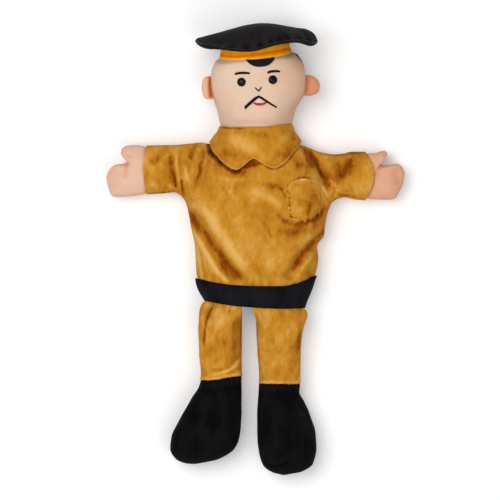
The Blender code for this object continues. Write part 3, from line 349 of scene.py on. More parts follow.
HEAD_RISE = mm(80, 25.4, 93.4, 27.0, 94.6, 30.6, 97.4, 31.5, 100, 33.0, 104, 34.0, 110, 34.2,
               120, 34, 135, 35, 146, 34.8, 155, 33.2, 160, 30.5, 168, 24.5, 173, 17, 176.6, 0.0)
HEAD_DROP = mm(80, 9.0, 97, 9.6, 102, 15.0, 110, 22.6, 120, 31.0, 130, 34.2, 150, 34.0, 160, 31,
               168, 26, 173, 17, 176.6, 0.0)

CROWN_SLOPE = ((-0.0565, -0.0010), (-0.040, -0.0046), (-0.025, -0.0034), (-0.008, -0.0008),
               (0.007, 0.0003), (0.020, -0.0004), (0.036, -0.0014), (0.048, 0.0014),
               (0.0540, 0.0036), (0.0569, 0.0034))

EAR_LEFT = mm(-43, 142.6, -47.6, 141.3, -50.0, 137, -50.4, 130.8, -48.6, 123.6, -45.0, 121.0,
              -39, 121.6, -35, 126, -34.5, 132, -36, 139)
EAR_RIGHT = mm(47, 143.4, 53, 142.4, 57.6, 138.8, 59.2, 133.2, 57.4, 127.6, 52.4, 124.8, 45, 124.4,
               40, 128, 39.5, 134, 42, 140)
MITT_LEFT = mm(-95, 74.0, -100.8, 75.4, -103.6, 77.8, -109, 79.0, -115.5, 79.2, -121.4, 78.4,
               -125.2, 75.8, -125.6, 70.8, -122.8, 66.8, -120.2, 64.2, -124, 61.8, -132.0, 60.5,
               -136.6, 56.6, -139.4, 50.6, -138.9, 43.6, -137.0, 36.6, -135.0, 32.2, -131.2, 30.8,
               -122, 31.0, -112, 31.8, -104.0, 33.4, -100.8, 35.4, -95, 37.6, -93.6, 47, -93.6, 64)
MITT_RIGHT = mm(94, 68.4, 101, 71.0, 106, 71.7, 111.5, 72.0, 115.6, 73.4, 119.6, 74.1, 122.6, 71.6,
                121.2, 68.2, 117.8, 65.0, 116.4, 62.2, 118.6, 60.5, 124.5, 60.9, 130.4, 61.8,
                134.4, 60.8, 137.4, 57.0, 138.7, 52.6, 138.1, 47.0, 136.3, 40.4, 133.2, 34.2,
                130.2, 29.6, 126.0, 28.2, 118, 28.1, 110, 28.3, 104, 29.1, 100, 30.1, 94, 32.0,
                92.6, 42, 92.6, 58)

LEG_LEFT = (mm(-146, -51.3, -137.8, -51.3, -117.7, -52.6, -94, -53.7, -80, -53.2, -73.8, -52.2,
               -70, -50.8, -67.4, -49.2, -65.6, -46.6, -63.8, -42.6, -61, -41.8),
            mm(-146, -13.4, -135.5, -13.4, -100, -13.0, -71.4, -12.8, -61, -14.0))
LEG_RIGHT = (mm(-146, 2.7, -141.4, 2.7, -105.8, 0.9, -82, -0.3, -74, -3.2, -66, -4.4),
             mm(-146, 40.8, -139, 41.2, -117.7, 41.8, -102.3, 42.4, -88, 45.4, -79, 47.6, -76, 47.2,
                -74.2, 46.0, -72.8, 44.0, -70.5, 40.0, -66, 39.2))
BOOT_LEFT = (mm(-218, -58, -217.3, -65.6, -212.6, -75.0, -203.1, -79.8, -192.4, -78.6, -177, -71.5,
                -156.8, -59.6, -147, -53.2, -140.3, -51.2),
             mm(-218, -57, -213.7, -35.9, -204.2, -20.5, -195.9, -16.4, -181.7, -14.0, -165, -13.4,
                -140.3, -13.4))
BOOT_RIGHT = (mm(-228, 25, -225.6, 15, -219.7, 6.8, -206.6, 2.7, -183, 0.8, -153.3, 2.0, -144, 2.7),
              mm(-228, 26, -224.4, 43.6, -217.4, 53.0, -203.1, 56.1, -188.8, 55.4, -173.4, 50.7,
                 -159.2, 44.7, -152, 40.6, -144, 40.8))


# Curves and sections, for whole tables of points at once

def curve(pairs, at):
    """Values on the smooth curve through the pairs, which never swings past them."""
    knots = np.array(pairs, float)
    run = np.diff(knots[:, 0])
    slope = np.diff(knots[:, 1]) / run
    before, after = slope[:-1], slope[1:]
    total = np.where(before * after > 0.0, before + after, 1.0)
    inner = np.where(before * after > 0.0, 2.0 * before * after / total, 0.0)
    tangent = np.concatenate((slope[:1], inner, slope[-1:]))
    at = np.clip(np.asarray(at, float), knots[0, 0], knots[-1, 0])
    spot = np.clip(np.searchsorted(knots[:, 0], at, side="right") - 1, 0, len(run) - 1)
    width = run[spot]
    t = (at - knots[spot, 0]) / width
    start = (2 * t ** 3 - 3 * t ** 2 + 1) * knots[spot, 1]
    end = (3 * t ** 2 - 2 * t ** 3) * knots[spot + 1, 1]
    lean = (t ** 3 - 2 * t ** 2 + t) * tangent[spot] + (t ** 3 - t ** 2) * tangent[spot + 1]
    return start + end + width * lean


def mix(start, end, t):
    """Value part of the way from start to end."""
    return start + (end - start) * t


def ease(t):
    """Soft step from 0 to 1."""
    t = np.clip(t, 0.0, 1.0)
    return t * t * (3.0 - 2.0 * t)


def dome(reach, power):
    """Height of a unit dome at a distance from its middle."""
    inside = np.clip(1.0 - np.minimum(1.0, np.abs(reach)) ** power, 0.0, 1.0)
    return inside ** (1.0 / power)


def hump(distance, width):
    """Bell of height 1 round a line."""
    return np.exp(-(distance / width) ** 2)


def stack(x, y, z):
    """Table of points from tables of their coordinates."""
    return np.stack(np.broadcast_arrays(x, y, z), axis=-1).astype(float)


def angle_row(count):
    """Angles once round, as a row."""
    return np.linspace(0, 2 * math.pi, count, endpoint=False)[None, :]


def share_column(count):
    """Shares from 0 to 1, as a column."""
    return np.linspace(0, 1, count)[:, None]


def grid(columns, rows):
    """Shares across and down a table."""
    return np.meshgrid(np.linspace(0, 1, columns), np.linspace(0, 1, rows))


def unit(directions):
    """Directions of length 1."""
    return directions / np.maximum(np.linalg.norm(directions, axis=-1, keepdims=True), 1e-9)


def span(section):
    """Middle and half width of a section."""
    return 0.5 * (section.left + section.right), 0.5 * (section.right - section.left)


def grown(section, by):
    """The same section, larger all round."""
    return Section(section.left - by, section.right + by, section.seat,
                   section.rise + by, section.drop + by)


def ring_points(section, angle, y, powers=(FRONT_POWER, BACK_POWER)):
    """Points of a section at angles, where 90 degrees is the front."""
    front = np.sin(angle) >= 0.0
    power = np.where(front, powers[0], powers[1])
    wide = np.abs(np.cos(angle)) ** (2.0 / power) * np.sign(np.cos(angle))
    high = np.abs(np.sin(angle)) ** (2.0 / power)
    middle, half = span(section)
    x = middle + wide * half
    z = section.seat + np.where(front, section.rise * high, -section.drop * high)
    return stack(x, y, np.maximum(0.0, z))


def torso(y):
    """Section of the tunic's body at a height along the puppet."""
    return Section(-curve(LEFT.side, y), curve(RIGHT.side, y), SEAM_HEIGHT,
                   curve(FRONT_RISE, y), curve(BACK_FALL, y))


def puff(x, y, body, arm, power):
    """How far the cloth stands from the plane of the side seams."""
    middle, half = span(torso(y))
    trunk = curve(body, y) * dome((x - middle) / half, power)
    top = np.where(x < 0.0, curve(LEFT.top, np.abs(x)), curve(RIGHT.top, np.abs(x)))
    under = np.where(x < 0.0, curve(LEFT.under, np.abs(x)), curve(RIGHT.under, np.abs(x)))
    sleeve = curve(arm, np.abs(x)) * dome((2.0 * y - top - under) / (top - under), power)
    return (trunk ** 4 + sleeve ** 4) ** 0.25


def line_distance(x, y, points):
    """Distance to a broken line, and how far along it the nearest point is."""
    best = np.full(np.shape(x), 1.0)
    along = np.zeros(np.shape(x))
    for index in range(len(points) - 1):
        (x0, y0), (x1, y1) = points[index], points[index + 1]
        square = (x1 - x0) ** 2 + (y1 - y0) ** 2
        t = np.clip(((x - x0) * (x1 - x0) + (y - y0) * (y1 - y0)) / square, 0.0, 1.0)
        gap = np.hypot(x0 + t * (x1 - x0) - x, y0 + t * (y1 - y0) - y)
        along = np.where(gap < best, (index + t) / (len(points) - 1), along)
        best = np.minimum(best, gap)
    return best, along


def folded(x, y, lines):
    """Height that folds along lines add to a cloth."""
    total = np.zeros(np.shape(x))
    for points, width, height in lines:
        gap, along = line_distance(x, y, points)
        total += height * hump(gap, width) * ease(5.0 * np.minimum(along, 1.0 - along) + 0.25)
    return total


def ripples(at, count, sway, bend):
    """Waves of uneven width, between -1 and 1."""
    return np.sin(at * count + sway * np.sin(at * bend))


def lumps(points, size, seed):
    """Soft lumps of about the given size, between -1 and 1."""
    flat = points.reshape(-1, 3) / size + seed * SEED_SHIFT
    values = [noise.noise(Vector(point)) for point in flat]
    return np.array(values).reshape(points.shape[:-1])


def belt_line(x):
    """Upper edge of the belt in front, at a distance from the middle."""
    return curve(BELT_TOP, x / BELT_HALF_X)


def front_height(x, y, depth=1.0):
    """Height of the tunic's front, and how folded it is there."""
    rise = puff(x, y, FRONT_RISE, SLEEVE_FRONT, FRONT_POWER)
    above = y - belt_line(x)
    clear = ease((above - 0.001) / 0.008)
    soft = ease(rise / 0.014)
    broad = folded(x, y, FOLDS) * clear
    sharp = folded(x, y, CREASES) * clear * depth
    gathers = 0.0007 * depth * ripples(x, 690.0, 1.7, 141.0) * hump(above - 0.001, 0.007)
    ripple = 0.00035 * depth * np.sin(x * 930.0 + y * 410.0) * ease(1.0 - rise / 0.020)
    folds = (broad + sharp + gathers) * soft
    shape = SEAM_HEIGHT + 0.5 * GAP + rise + folds + ripple * ease(rise / 0.004)
    return shape, (broad * 0.75 + sharp * 1.3 + gathers + ripple) / 0.0042


def back_height(x, y):
    """Height of the tunic's back."""
    fall = puff(x, y, BACK_FALL, SLEEVE_BACK, BACK_POWER)
    return np.maximum(0.0, SEAM_HEIGHT - 0.5 * GAP - fall)


def across(t):
    """Share of the half width at a step from the side, 0, to the middle, 1."""
    return mix(1.0 - t, np.cos(0.5 * math.pi * t), 0.45)


def stretch(s, start, share):
    """How far along a stretch of the panel's edge a place is."""
    return np.clip((s - start) / share, 0, 1)


def upper_edge(side, s):
    """Upper edge of one half: sleeve, shoulder, side of the neck, neck line."""
    foot, foot_y = side.top[0]
    sleeve = mix(CUFF_X, SHOULDER_X, stretch(s, 0.0, SLEEVE_SHARE))
    shoulder = mix(SHOULDER_X, foot, stretch(s, SLEEVE_SHARE, SHOULDER_SHARE))
    arm = np.where(s <= SLEEVE_SHARE, sleeve, shoulder)
    neck = mix(foot_y, NECK_Y, stretch(s, NECK_START, NECK_SHARE))
    line = curve(side.side, NECK_Y) * across(stretch(s, MIDDLE_START, MIDDLE_SHARE))
    x = np.where(s <= NECK_START, arm, np.where(s <= MIDDLE_START, curve(side.side, neck), line))
    y = np.where(s <= NECK_START, curve(side.top, arm), np.where(s <= MIDDLE_START, neck, NECK_Y))
    return side.sign * x, y


def lower_edge(side, s):
    """Lower edge of one half: under the sleeve, armpit, side, hem."""
    armpit = side.under[ARMPIT]
    hem = HEM_LEFT_Y if side.sign < 0 else HEM_RIGHT_Y
    arm = mix(CUFF_X, armpit[0], stretch(s, 0.0, SLEEVE_SHARE))
    flank = mix(armpit[1], hem, stretch(s, SLEEVE_SHARE, FLANK_SHARE))
    t = stretch(s, MIDDLE_START, MIDDLE_SHARE)
    low_x = np.where(s <= MIDDLE_START, curve(side.side, flank), curve(side.side, hem) * across(t))
    low_y = np.where(s <= MIDDLE_START, flank, mix(hem, 0.5 * (HEM_LEFT_Y + HEM_RIGHT_Y), t))
    x = np.where(s <= SLEEVE_SHARE, arm, low_x)
    y = np.where(s <= SLEEVE_SHARE, curve(side.under, arm), low_y)
    return side.sign * x, y


def panel(columns, rows):
    """Flat places of a tunic panel, ruled from its upper to its lower edge."""
    u, v = grid(columns + 1, rows + 1)
    s = np.minimum(u, 1.0 - u)
    flat = np.zeros(u.shape + (2,))
    for side, bulge in ((LEFT, 0.0025), (RIGHT, 0.0080)):
        mine = u < 0.5 if side is LEFT else u >= 0.5
        t = mix(v, 0.5 * (1.0 - np.cos(math.pi * v)), 0.85 * (1.0 - ease((s - 0.30) / 0.12)))
        top = upper_edge(side, s)
        low = lower_edge(side, s)
        cuff = np.maximum(0.0, 1.0 - s / 0.10)
        x = mix(top[0], low[0], t) + side.sign * bulge * np.sin(math.pi * t) * cuff
        x -= side.sign * 0.008 * curve(BOW, s) * np.sin(math.pi * t)
        flat[mine] = np.stack((x, mix(top[1], low[1], t)), axis=-1)[mine]
    return flat[..., 0], flat[..., 1]


# Making pieces

def add_object(name, data):
    """Object in the scene from its data."""
    item = bpy.data.objects.new(name, data)
    bpy.context.scene.collection.objects.link(item)
    return item


def add_piece(name, points, finish, size, loop=False, fold=None):
    """Object from a table of points, rows by columns, with its cloth laid out flat as UVs."""
    rows, columns = points.shape[:2]
    steps = columns if loop else columns - 1
    index = np.arange(rows * columns).reshape(rows, columns)
    beside = np.roll(index, -1, axis=1)
    faces = np.stack([index[:-1, :steps], beside[:-1, :steps], beside[1:, :steps],
                      index[1:, :steps]], axis=-1).reshape(-1, 4)
    data = bpy.data.meshes.new(name)
    data.from_pydata(points.reshape(-1, 3).tolist(), [], faces.tolist())
    row, column = np.meshgrid(np.arange(rows - 1), np.arange(steps), indexing="ij")
    u = np.stack([column, column + 1, column + 1, column], axis=-1) / steps * size[0]
    v = np.stack([row, row, row + 1, row + 1], axis=-1) / (rows - 1) * size[1]
    layout = data.uv_layers.new(name="Cloth")
    layout.data.foreach_set("uv", np.stack((u, v), axis=-1).astype(np.float32).ravel())
    depth = data.attributes.new("fold", "FLOAT", "POINT")
    values = np.zeros(points.shape[:2]) if fold is None else fold
    depth.data.foreach_set("value", np.clip(values, -3.0, 2.0).astype(np.float32).ravel())
    mesh = bmesh.new()
    mesh.from_mesh(data)
    bmesh.ops.remove_doubles(mesh, verts=mesh.verts, dist=SAME_PLACE)
    mesh.normal_update()
    centre = sum((vertex.co for vertex in mesh.verts), Vector()) / len(mesh.verts)
    outward = sum(face.normal.dot(face.calc_center_median() - centre) * face.calc_area()
                  for face in mesh.faces)
    if outward < 0.0:
        bmesh.ops.reverse_faces(mesh, faces=mesh.faces)
    mesh.to_mesh(data)
    mesh.free()
    data.shade_smooth()
    data.materials.append(finish)
    return add_object(name, data)


def settle(item):
    """Turn an object with its modifiers into a plain mesh."""
    graph = bpy.context.evaluated_depsgraph_get()
    data = bpy.data.meshes.new_from_object(item.evaluated_get(graph), depsgraph=graph)
    data.name = item.name
    if item.type == "MESH":
        item.modifiers.clear()
        item.data = data
        return item
    finished = add_object(item.name + "_mesh", data)
    name = item.name
    bpy.data.objects.remove(item)
    finished.name = name
    return finished


def thicken(item, thickness, outside=False):
    """Give an open cloth its thickness."""
    wall = item.modifiers.new("Wall", "SOLIDIFY")
    wall.thickness = thickness
    wall.offset = 1.0 if outside else -1.0
    wall.use_even_offset = False
    settle(item)


def press(item, depth, size, seed):
    """Push a piece in and out by soft lumps, along its own surface's direction."""
    data = item.data
    count = len(data.vertices)
    places = np.zeros(count * 3)
    normals = np.zeros(count * 3)
    data.vertices.foreach_get("co", places)
    data.vertices.foreach_get("normal", normals)
    places = places.reshape(-1, 3)
    normals = normals.reshape(-1, 3)
    places = places + normals * (depth * lumps(places, size, seed))[:, None]
    places[:, 2] = np.maximum(places[:, 2], 0.0)
    data.vertices.foreach_set("co", places.ravel())
    data.update()


def hand_over(item, node, whole=True):
    """Let a finished piece ride on the puppet's root and, when whole, stand for a node, whose own
    part is hidden.
    """
    for vertex in item.data.vertices:
        vertex.co.z = max(0.0, vertex.co.z)
    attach(item, "root")
    if whole:
        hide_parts(node)


def surface_point(item, x, y, lift):
    """Point at a height over an object's front, and the surface's direction there."""
    found, spot, normal, _ = item.ray_cast(Vector((x, y, 0.3)), Vector((0, 0, -1)))
    if not found:
        raise ValueError(f"{item.name} has no surface at {x:.4f}, {y:.4f}")
    return spot + normal * lift, normal


def closed_outline(points, count):
    """Points at even steps of a smooth closed curve through the given points."""
    knots = np.array(points, float)
    at = np.arange(count) * len(knots) / count
    index = at.astype(int)
    t = (at - index)[:, None]
    a, b, c, d = (knots[(index + shift) % len(knots)] for shift in (-1, 0, 1, 2))
    return 0.5 * (2 * b + (c - a) * t + (2 * a - 5 * b + 4 * c - d) * t ** 2
                  + (3 * b - a - 3 * c + d) * t ** 3)


def pillow(name, outline, middle, seat, rise, finish, creases, count, rings):
    """A stuffed flat shape: an outline that swells to the front and the back."""
    ring = closed_outline(outline, count)
    angle = np.linspace(-0.5 * math.pi, 0.5 * math.pi, rings + 1)[:, None]
    flat = mix(np.array(middle), ring[None, :, :], np.cos(angle)[..., None])
    high = np.sign(np.sin(angle)) * np.abs(np.sin(angle)) ** 0.85
    z = seat + high * rise + np.zeros((1, count))
    fold = folded(flat[..., 0], flat[..., 1], creases)
    shallow = ease((z - seat) / (0.5 * rise))
    seam = -0.0003 * hump(angle, 0.06)
    points = stack(flat[..., 0], flat[..., 1], z + fold * shallow)
    points[..., :2] += (points[..., :2] - np.array(middle)) * seam[..., None] / 0.02
    return add_piece(name, points, finish, loop=True, size=(0.12, 0.06),
                     fold=fold * shallow / 0.002)


# Finishes

def add_node(tree, kind, inputs, settings):
    """A node with its settings and its inputs, given as values or as other sockets."""
    made = tree.nodes.new(kind)
    for key, value in settings.items():
        setattr(made, key, value)
    for key, value in inputs.items():
        if isinstance(value, bpy.types.NodeSocket):
            tree.links.new(value, made.inputs[key])
        else:
            made.inputs[key].default_value = value
    return made


def shade(colour, by):
    """The same colour, darker below 1 and lighter above it."""
    return tuple(min(1.0, part * by) for part in colour[:3])


def mix_colour(first, second, t):
    """Colour part of the way between two."""
    return tuple(mix(a, b, t) for a, b in zip(first[:3], second[:3]))


class Finish:
    """A procedural material under construction."""

    def __init__(self, name, roughness, sheen=0.0, tint=(1, 1, 1), sheen_roughness=0.4,
                 specular=0.15):
        self.material = bpy.data.materials.new(name)
        self.material.use_nodes = True
        self.tree = self.material.node_tree
        self.shader = self.tree.nodes["Principled BSDF"]
        for key, value in (("Roughness", roughness), ("Specular IOR Level", specular),
                           ("Metallic", 0.0), ("Sheen Weight", sheen),
                           ("Sheen Roughness", sheen_roughness), ("Sheen Tint", (*tint, 1.0))):
            self.shader.inputs[key].default_value = value
        self.place = self.tree.nodes.new("ShaderNodeTexCoord")

    def node(self, kind, inputs=None, **settings):
        """A shader node with its settings and its inputs."""
        return add_node(self.tree, "ShaderNode" + kind, inputs or {}, settings)

    def mapped(self, scale=(1, 1, 1), turn=0.0, flat=False):
        """Places on the piece, stretched or turned."""
        source = self.place.outputs["UV" if flat else "Object"]
        made = self.node("Mapping", {"Vector": source, "Scale": scale, "Rotation": (0, 0, turn)})
        return made.outputs[0]

    def clouds(self, where, scale, detail=3.0, roughness=0.55, distortion=0.0):
        """Cloudy pattern between 0 and 1."""
        return self.node("TexNoise", {"Vector": where, "Scale": scale, "Detail": detail,
                                      "Roughness": roughness,
                                      "Distortion": distortion}).outputs["Fac"]

    def bands(self, where, scale, direction="X", distortion=0.0):
        """Even bands between 0 and 1."""
        return self.node("TexWave", {"Vector": where, "Scale": scale, "Distortion": distortion,
                                     "Detail": 1.0}, bands_direction=direction).outputs["Fac"]

    def maths(self, operation, *values):
        """Sum, product or another rule for two or three values."""
        return self.node("Math", dict(enumerate(values)), operation=operation).outputs[0]

    def add(self, value, share, base):
        """A share of a value on top of a base."""
        return self.maths("MULTIPLY_ADD", value, share, base)

    def fold(self):
        """How far a place stands on a ridge, above 0, or in a crease, below 0, with painted
        highlights and painted shade added in; the finishes paint ridges lighter and creases darker
        from it.
        """
        return self.node("Attribute", attribute_name="fold").outputs["Fac"]

    def ramp(self, value, *stops):
        """Colours along a value."""
        made = self.node("ValToRGB", {"Fac": value})
        band = made.color_ramp
        while len(band.elements) < len(stops):
            band.elements.new(0.5)
        for element, (place, colour) in zip(band.elements, stops):
            element.position = place
            element.color = (*colour, 1.0)
        return made.outputs["Color"]

    def paint(self, colour):
        """Set the colour from a socket."""
        self.tree.links.new(colour, self.shader.inputs["Base Color"])

    def relief(self, height, strength, distance):
        """Set the fine relief from a socket."""
        bump = self.node("Bump", {"Height": height, "Strength": strength, "Distance": distance})
        self.tree.links.new(bump.outputs[0], self.shader.inputs["Normal"])


def velveteen(name, look, fold_share=0.225, patch_share=0.74):
    """Short-piled cloth whose brushed nap lies in light and dark patches, with painted shade in its
    creases and painted highlights on its ridges.
    """
    made = Finish(name, 0.85, look.velvet_sheen, (1.0, 0.66, 0.20), 0.35, 0.05)
    patches = made.clouds(made.mapped((1, 0.75, 1), 0.5), 46.0, 4.0, 0.55, 0.6)
    streaks = made.clouds(made.mapped((1, 0.5, 1), -0.5), 260.0, 3.0, 0.55, 0.3)
    value = made.add(patches, patch_share, 0.39 - 0.5 * patch_share)
    value = made.add(streaks, 0.32, value)
    # Painted shade and highlight: the fold attribute darkens creases and the places under the
    # collar, and lightens ridges.
    value = made.add(made.fold(), fold_share, value)
    dark, middle, light = look.velvet_dark, look.velvet, look.velvet_light
    # The darkest stops are painted shadow, for the deepest creases and the gap under the collar.
    made.paint(made.ramp(value, (0.0, (0.050, 0.010, 0.001)), (0.14, (0.170, 0.038, 0.001)),
                         (0.30, dark), (0.42, mix_colour(dark, middle, 0.6)), (0.55, middle),
                         (0.70, mix_colour(middle, light, 0.55)), (0.88, light)))
    pile = made.clouds(made.mapped((1, 0.6, 1)), 1500.0, 3.0, 0.7)
    rows = made.bands(made.mapped(), 260.0, "X", 0.8)
    height = made.add(rows, 0.25, pile)
    made.relief(made.add(streaks, 0.8, height), 0.35, 0.0005)
    return made.material


def cotton(name, colour, deep, crease_shade=0.5, right_shade=0.0):
    """Plain-woven cotton over stuffing, with painted shade that makes it warmer and darker in its
    creases and towards the viewer's right.
    """
    made = Finish(name, 0.86, 0.10, (1.0, 0.9, 0.85))
    clouds = made.clouds(made.mapped(), 38.0, 3.0, 0.5)
    value = made.add(clouds, 0.30, 0.50)
    # Painted shade in creases and painted highlight on ridges, from the fold attribute.
    value = made.add(made.fold(), crease_shade, value)
    # Painted shade towards the viewer's right: the value falls there, so the cotton turns warmer
    # and darker.
    side = made.node("SeparateXYZ", {"Vector": made.mapped()}).outputs["X"]
    right = made.node("MapRange", {"Value": side, "From Min": 0.005, "From Max": 0.045,
                                   "To Max": right_shade})
    value = made.maths("SUBTRACT", value, right.outputs[0])
    warm = (0.97 * colour[0], 0.78 * colour[1], 0.67 * colour[2])
    made.paint(made.ramp(value, (0.0, deep), (0.20, mix_colour(deep, warm, 0.6)), (0.42, warm),
                         (0.64, colour), (1.0, shade(colour, 1.18))))
    warp = made.bands(made.mapped(), 620.0, "X", 0.3)
    weft = made.bands(made.mapped(), 620.0, "Y", 0.3)
    weave = made.maths("MULTIPLY", warp, weft)
    fibres = made.clouds(made.mapped(), 2200.0, 2.0, 0.6)
    made.relief(made.add(fibres, 0.5, weave), 0.22, 0.0003)
    return made.material


def black_cloth(name, colour, bright, sheen=0.25, grain=90.0):
    """Black cloth with a faint brushed nap, painted a little lighter on its ridges and darker in
    its creases.
    """
    made = Finish(name, 0.85, sheen, (0.75, 0.75, 0.85), 0.45, 0.03)
    clouds = made.clouds(made.mapped((1, 0.4, 1), 0.5), grain, 4.0, 0.6, 0.3)
    value = made.add(made.fold(), 0.35, clouds)
    made.paint(made.ramp(value, (0.35, colour), (0.60, mix_colour(colour, bright, 0.45)),
                         (0.95, bright)))
    pile = made.clouds(made.mapped(), 1700.0, 3.0, 0.7)
    twill = made.bands(made.mapped((1, 1, 1), 0.9), 420.0, "X", 0.5)
    made.relief(made.add(twill, 0.3, pile), 0.30, 0.0004)
    return made.material


def satin(name, colour, deep, bright):
    """Ribbon with long floats of thread along it, with painted highlights and painted shade on its
    folds.
    """
    made = Finish(name, 0.60, specular=0.05)
    along = made.clouds(made.mapped((1, 14, 1), 0.0, True), 55.0, 3.0, 0.6)
    value = made.add(along, 0.35, 0.38)
    value = made.add(made.fold(), 0.5, value)
    # The deep colour paints shade and the bright colour paints highlights, where the fold attribute
    # and the streaks along the ribbon take the value.
    made.paint(made.ramp(value, (0.0, deep), (0.40, mix_colour(deep, colour, 0.7)), (0.60, colour),
                         (1.0, bright)))
    floats = made.bands(made.mapped((1, 1, 1), 0.0, True), 900.0, "Y", 0.4)
    made.relief(floats, 0.25, 0.0002)
    return made.material


def thread(name, colour):
    """Stranded embroidery thread."""
    made = Finish(name, 0.55, 0.2)
    strand = made.clouds(made.mapped(), 900.0, 2.0, 0.5)
    made.paint(made.ramp(strand, (0.3, shade(colour, 0.6)), (0.7, shade(colour, 1.3))))
    made.relief(made.clouds(made.mapped(), 2600.0, 2.0, 0.6), 0.4, 0.0002)
    return made.material


def felt(name, colour):
    """Pressed fibres without a weave."""
    made = Finish(name, 0.95, 0.25)
    fibres = made.clouds(made.mapped(), 700.0, 5.0, 0.75)
    made.paint(made.ramp(fibres, (0.3, shade(colour, 0.75)), (0.7, shade(colour, 1.2))))
    made.relief(fibres, 0.6, 0.0004)
    return made.material


def bead(name):
    """Polished black glass-like plastic."""
    made = Finish(name, 0.16, specular=0.12)
    tone = made.clouds(made.mapped(), 300.0, 2.0, 0.5)
    made.paint(made.ramp(tone, (0.2, (0.004, 0.004, 0.005)), (0.8, (0.010, 0.008, 0.009))))
    return made.material


def paper(name, colour):
    """Plain pale floor that shows white to the camera and keeps its shadow."""
    made = Finish(name, 0.95, specular=0.1)
    grain = made.clouds(made.mapped(), 9.0, 2.0, 0.5)
    made.paint(made.ramp(grain, (0.2, shade(colour, 0.985)), (0.8, colour)))
    seen = made.node("LightPath")
    direct = made.maths("MAXIMUM", seen.outputs["Is Camera Ray"], seen.outputs["Is Glossy Ray"])
    glow = made.node("Emission", {"Color": (1, 1, 1, 1),
                                  "Strength": made.maths("MULTIPLY", direct, 0.16)})
    both = made.node("AddShader", {0: made.shader.outputs[0], 1: glow.outputs[0]})
    made.tree.links.new(both.outputs[0], made.tree.nodes["Material Output"].inputs["Surface"])
    return made.material


# Rows of stitches

def stitch_tree():
    """Geometry nodes that lay a stitch at even steps along each curve."""
    tree = bpy.data.node_groups.new("Stitch row", "GeometryNodeTree")
    face = tree.interface
    face.new_socket("Geometry", in_out="INPUT", socket_type="NodeSocketGeometry")
    for name, value in (("Spacing", 0.003), ("Stitch length", 0.002), ("Thread radius", 0.0003),
                        ("Slant", 0.0)):
        face.new_socket(name, in_out="INPUT", socket_type="NodeSocketFloat").default_value = value
    face.new_socket("Thread", in_out="INPUT", socket_type="NodeSocketMaterial")
    face.new_socket("Geometry", in_out="OUTPUT", socket_type="NodeSocketGeometry")
    start = tree.nodes.new("NodeGroupInput").outputs

    def node(kind, inputs=None, **settings):
        return add_node(tree, kind, inputs or {}, settings).outputs

    places = node("GeometryNodeCurveToPoints",
                  {"Curve": start["Geometry"], "Length": start["Spacing"]}, mode="LENGTH")
    ball = node("GeometryNodeMeshUVSphere", {"Segments": 8, "Rings": 6, "Radius": 1.0})
    turned = node("ShaderNodeVectorRotate",
                  {"Vector": places["Tangent"], "Axis": (0, 0, 1), "Angle": start["Slant"]},
                  rotation_type="AXIS_ANGLE")
    aim = node("FunctionNodeAlignRotationToVector", {"Vector": turned[0]}, axis="X")
    half = node("ShaderNodeMath", {0: start["Stitch length"],
                                   1: node("GeometryNodeInputRadius")[0]},
                operation="MULTIPLY")
    size = node("ShaderNodeCombineXYZ",
                {"X": half[0], "Y": start["Thread radius"], "Z": start["Thread radius"]})
    spread = node("GeometryNodeInstanceOnPoints",
                  {"Points": places["Points"], "Instance": ball["Mesh"], "Rotation": aim[0],
                   "Scale": size[0]})
    real = node("GeometryNodeRealizeInstances", {0: spread[0]})
    finish = node("GeometryNodeSetMaterial", {"Geometry": real[0], "Material": start["Thread"]})
    smooth = node("GeometryNodeSetShadeSmooth", {0: finish[0]})
    tree.links.new(smooth[0], tree.nodes.new("NodeGroupOutput").inputs[0])
    return tree


def stitched(name, points, finish, spacing, length, radius, slant=0.0, shares=None):
    """Stitches along a line of points, shorter where their share of the length is below 1."""
    tree = bpy.data.node_groups.get("Stitch row") or stitch_tree()
    data = bpy.data.curves.new(name, "CURVE")
    data.dimensions = "3D"
    spline = data.splines.new("POLY")
    spline.points.add(len(points) - 1)
    for index, place in enumerate(points):
        spline.points[index].co = (*place, 1.0)
        spline.points[index].radius = 0.5 if shares is None else 0.5 * shares[index]
    item = add_object(name, data)
    row = item.modifiers.new("Stitches", "NODES")
    row.node_group = tree
    values = {"Spacing": spacing, "Stitch length": length, "Thread radius": radius, "Slant": slant,
              "Thread": finish}
    for socket in tree.interface.items_tree:
        if socket.item_type == "SOCKET" and socket.in_out == "INPUT" and socket.name in values:
            row[socket.identifier] = values[socket.name]
    bpy.context.view_layer.update()
    return settle(item)


# Settings

def colour_setting(name, description, default):
    """A colour that the panel shows."""
    return bpy.props.FloatVectorProperty(name=name, description=description, subtype="COLOR",
                                         size=3, min=0.0, max=1.0, default=default)


def share_setting(name, description, default, top=1.0):
    """A share that the panel shows."""
    return bpy.props.FloatProperty(name=name, description=description, subtype="FACTOR",
                                   min=0.0, max=top, default=default)


def length_setting(name, description, default, low, top):
    """A length that the panel shows."""
    return bpy.props.FloatProperty(name=name, description=description, subtype="DISTANCE",
                                   unit="LENGTH", min=low, max=top, default=default)


def power_setting(name, description, default):
    """A lamp's power that the panel shows."""
    return bpy.props.FloatProperty(name=name, description=description, unit="POWER",
                                   min=0.0, max=200.0, default=default)


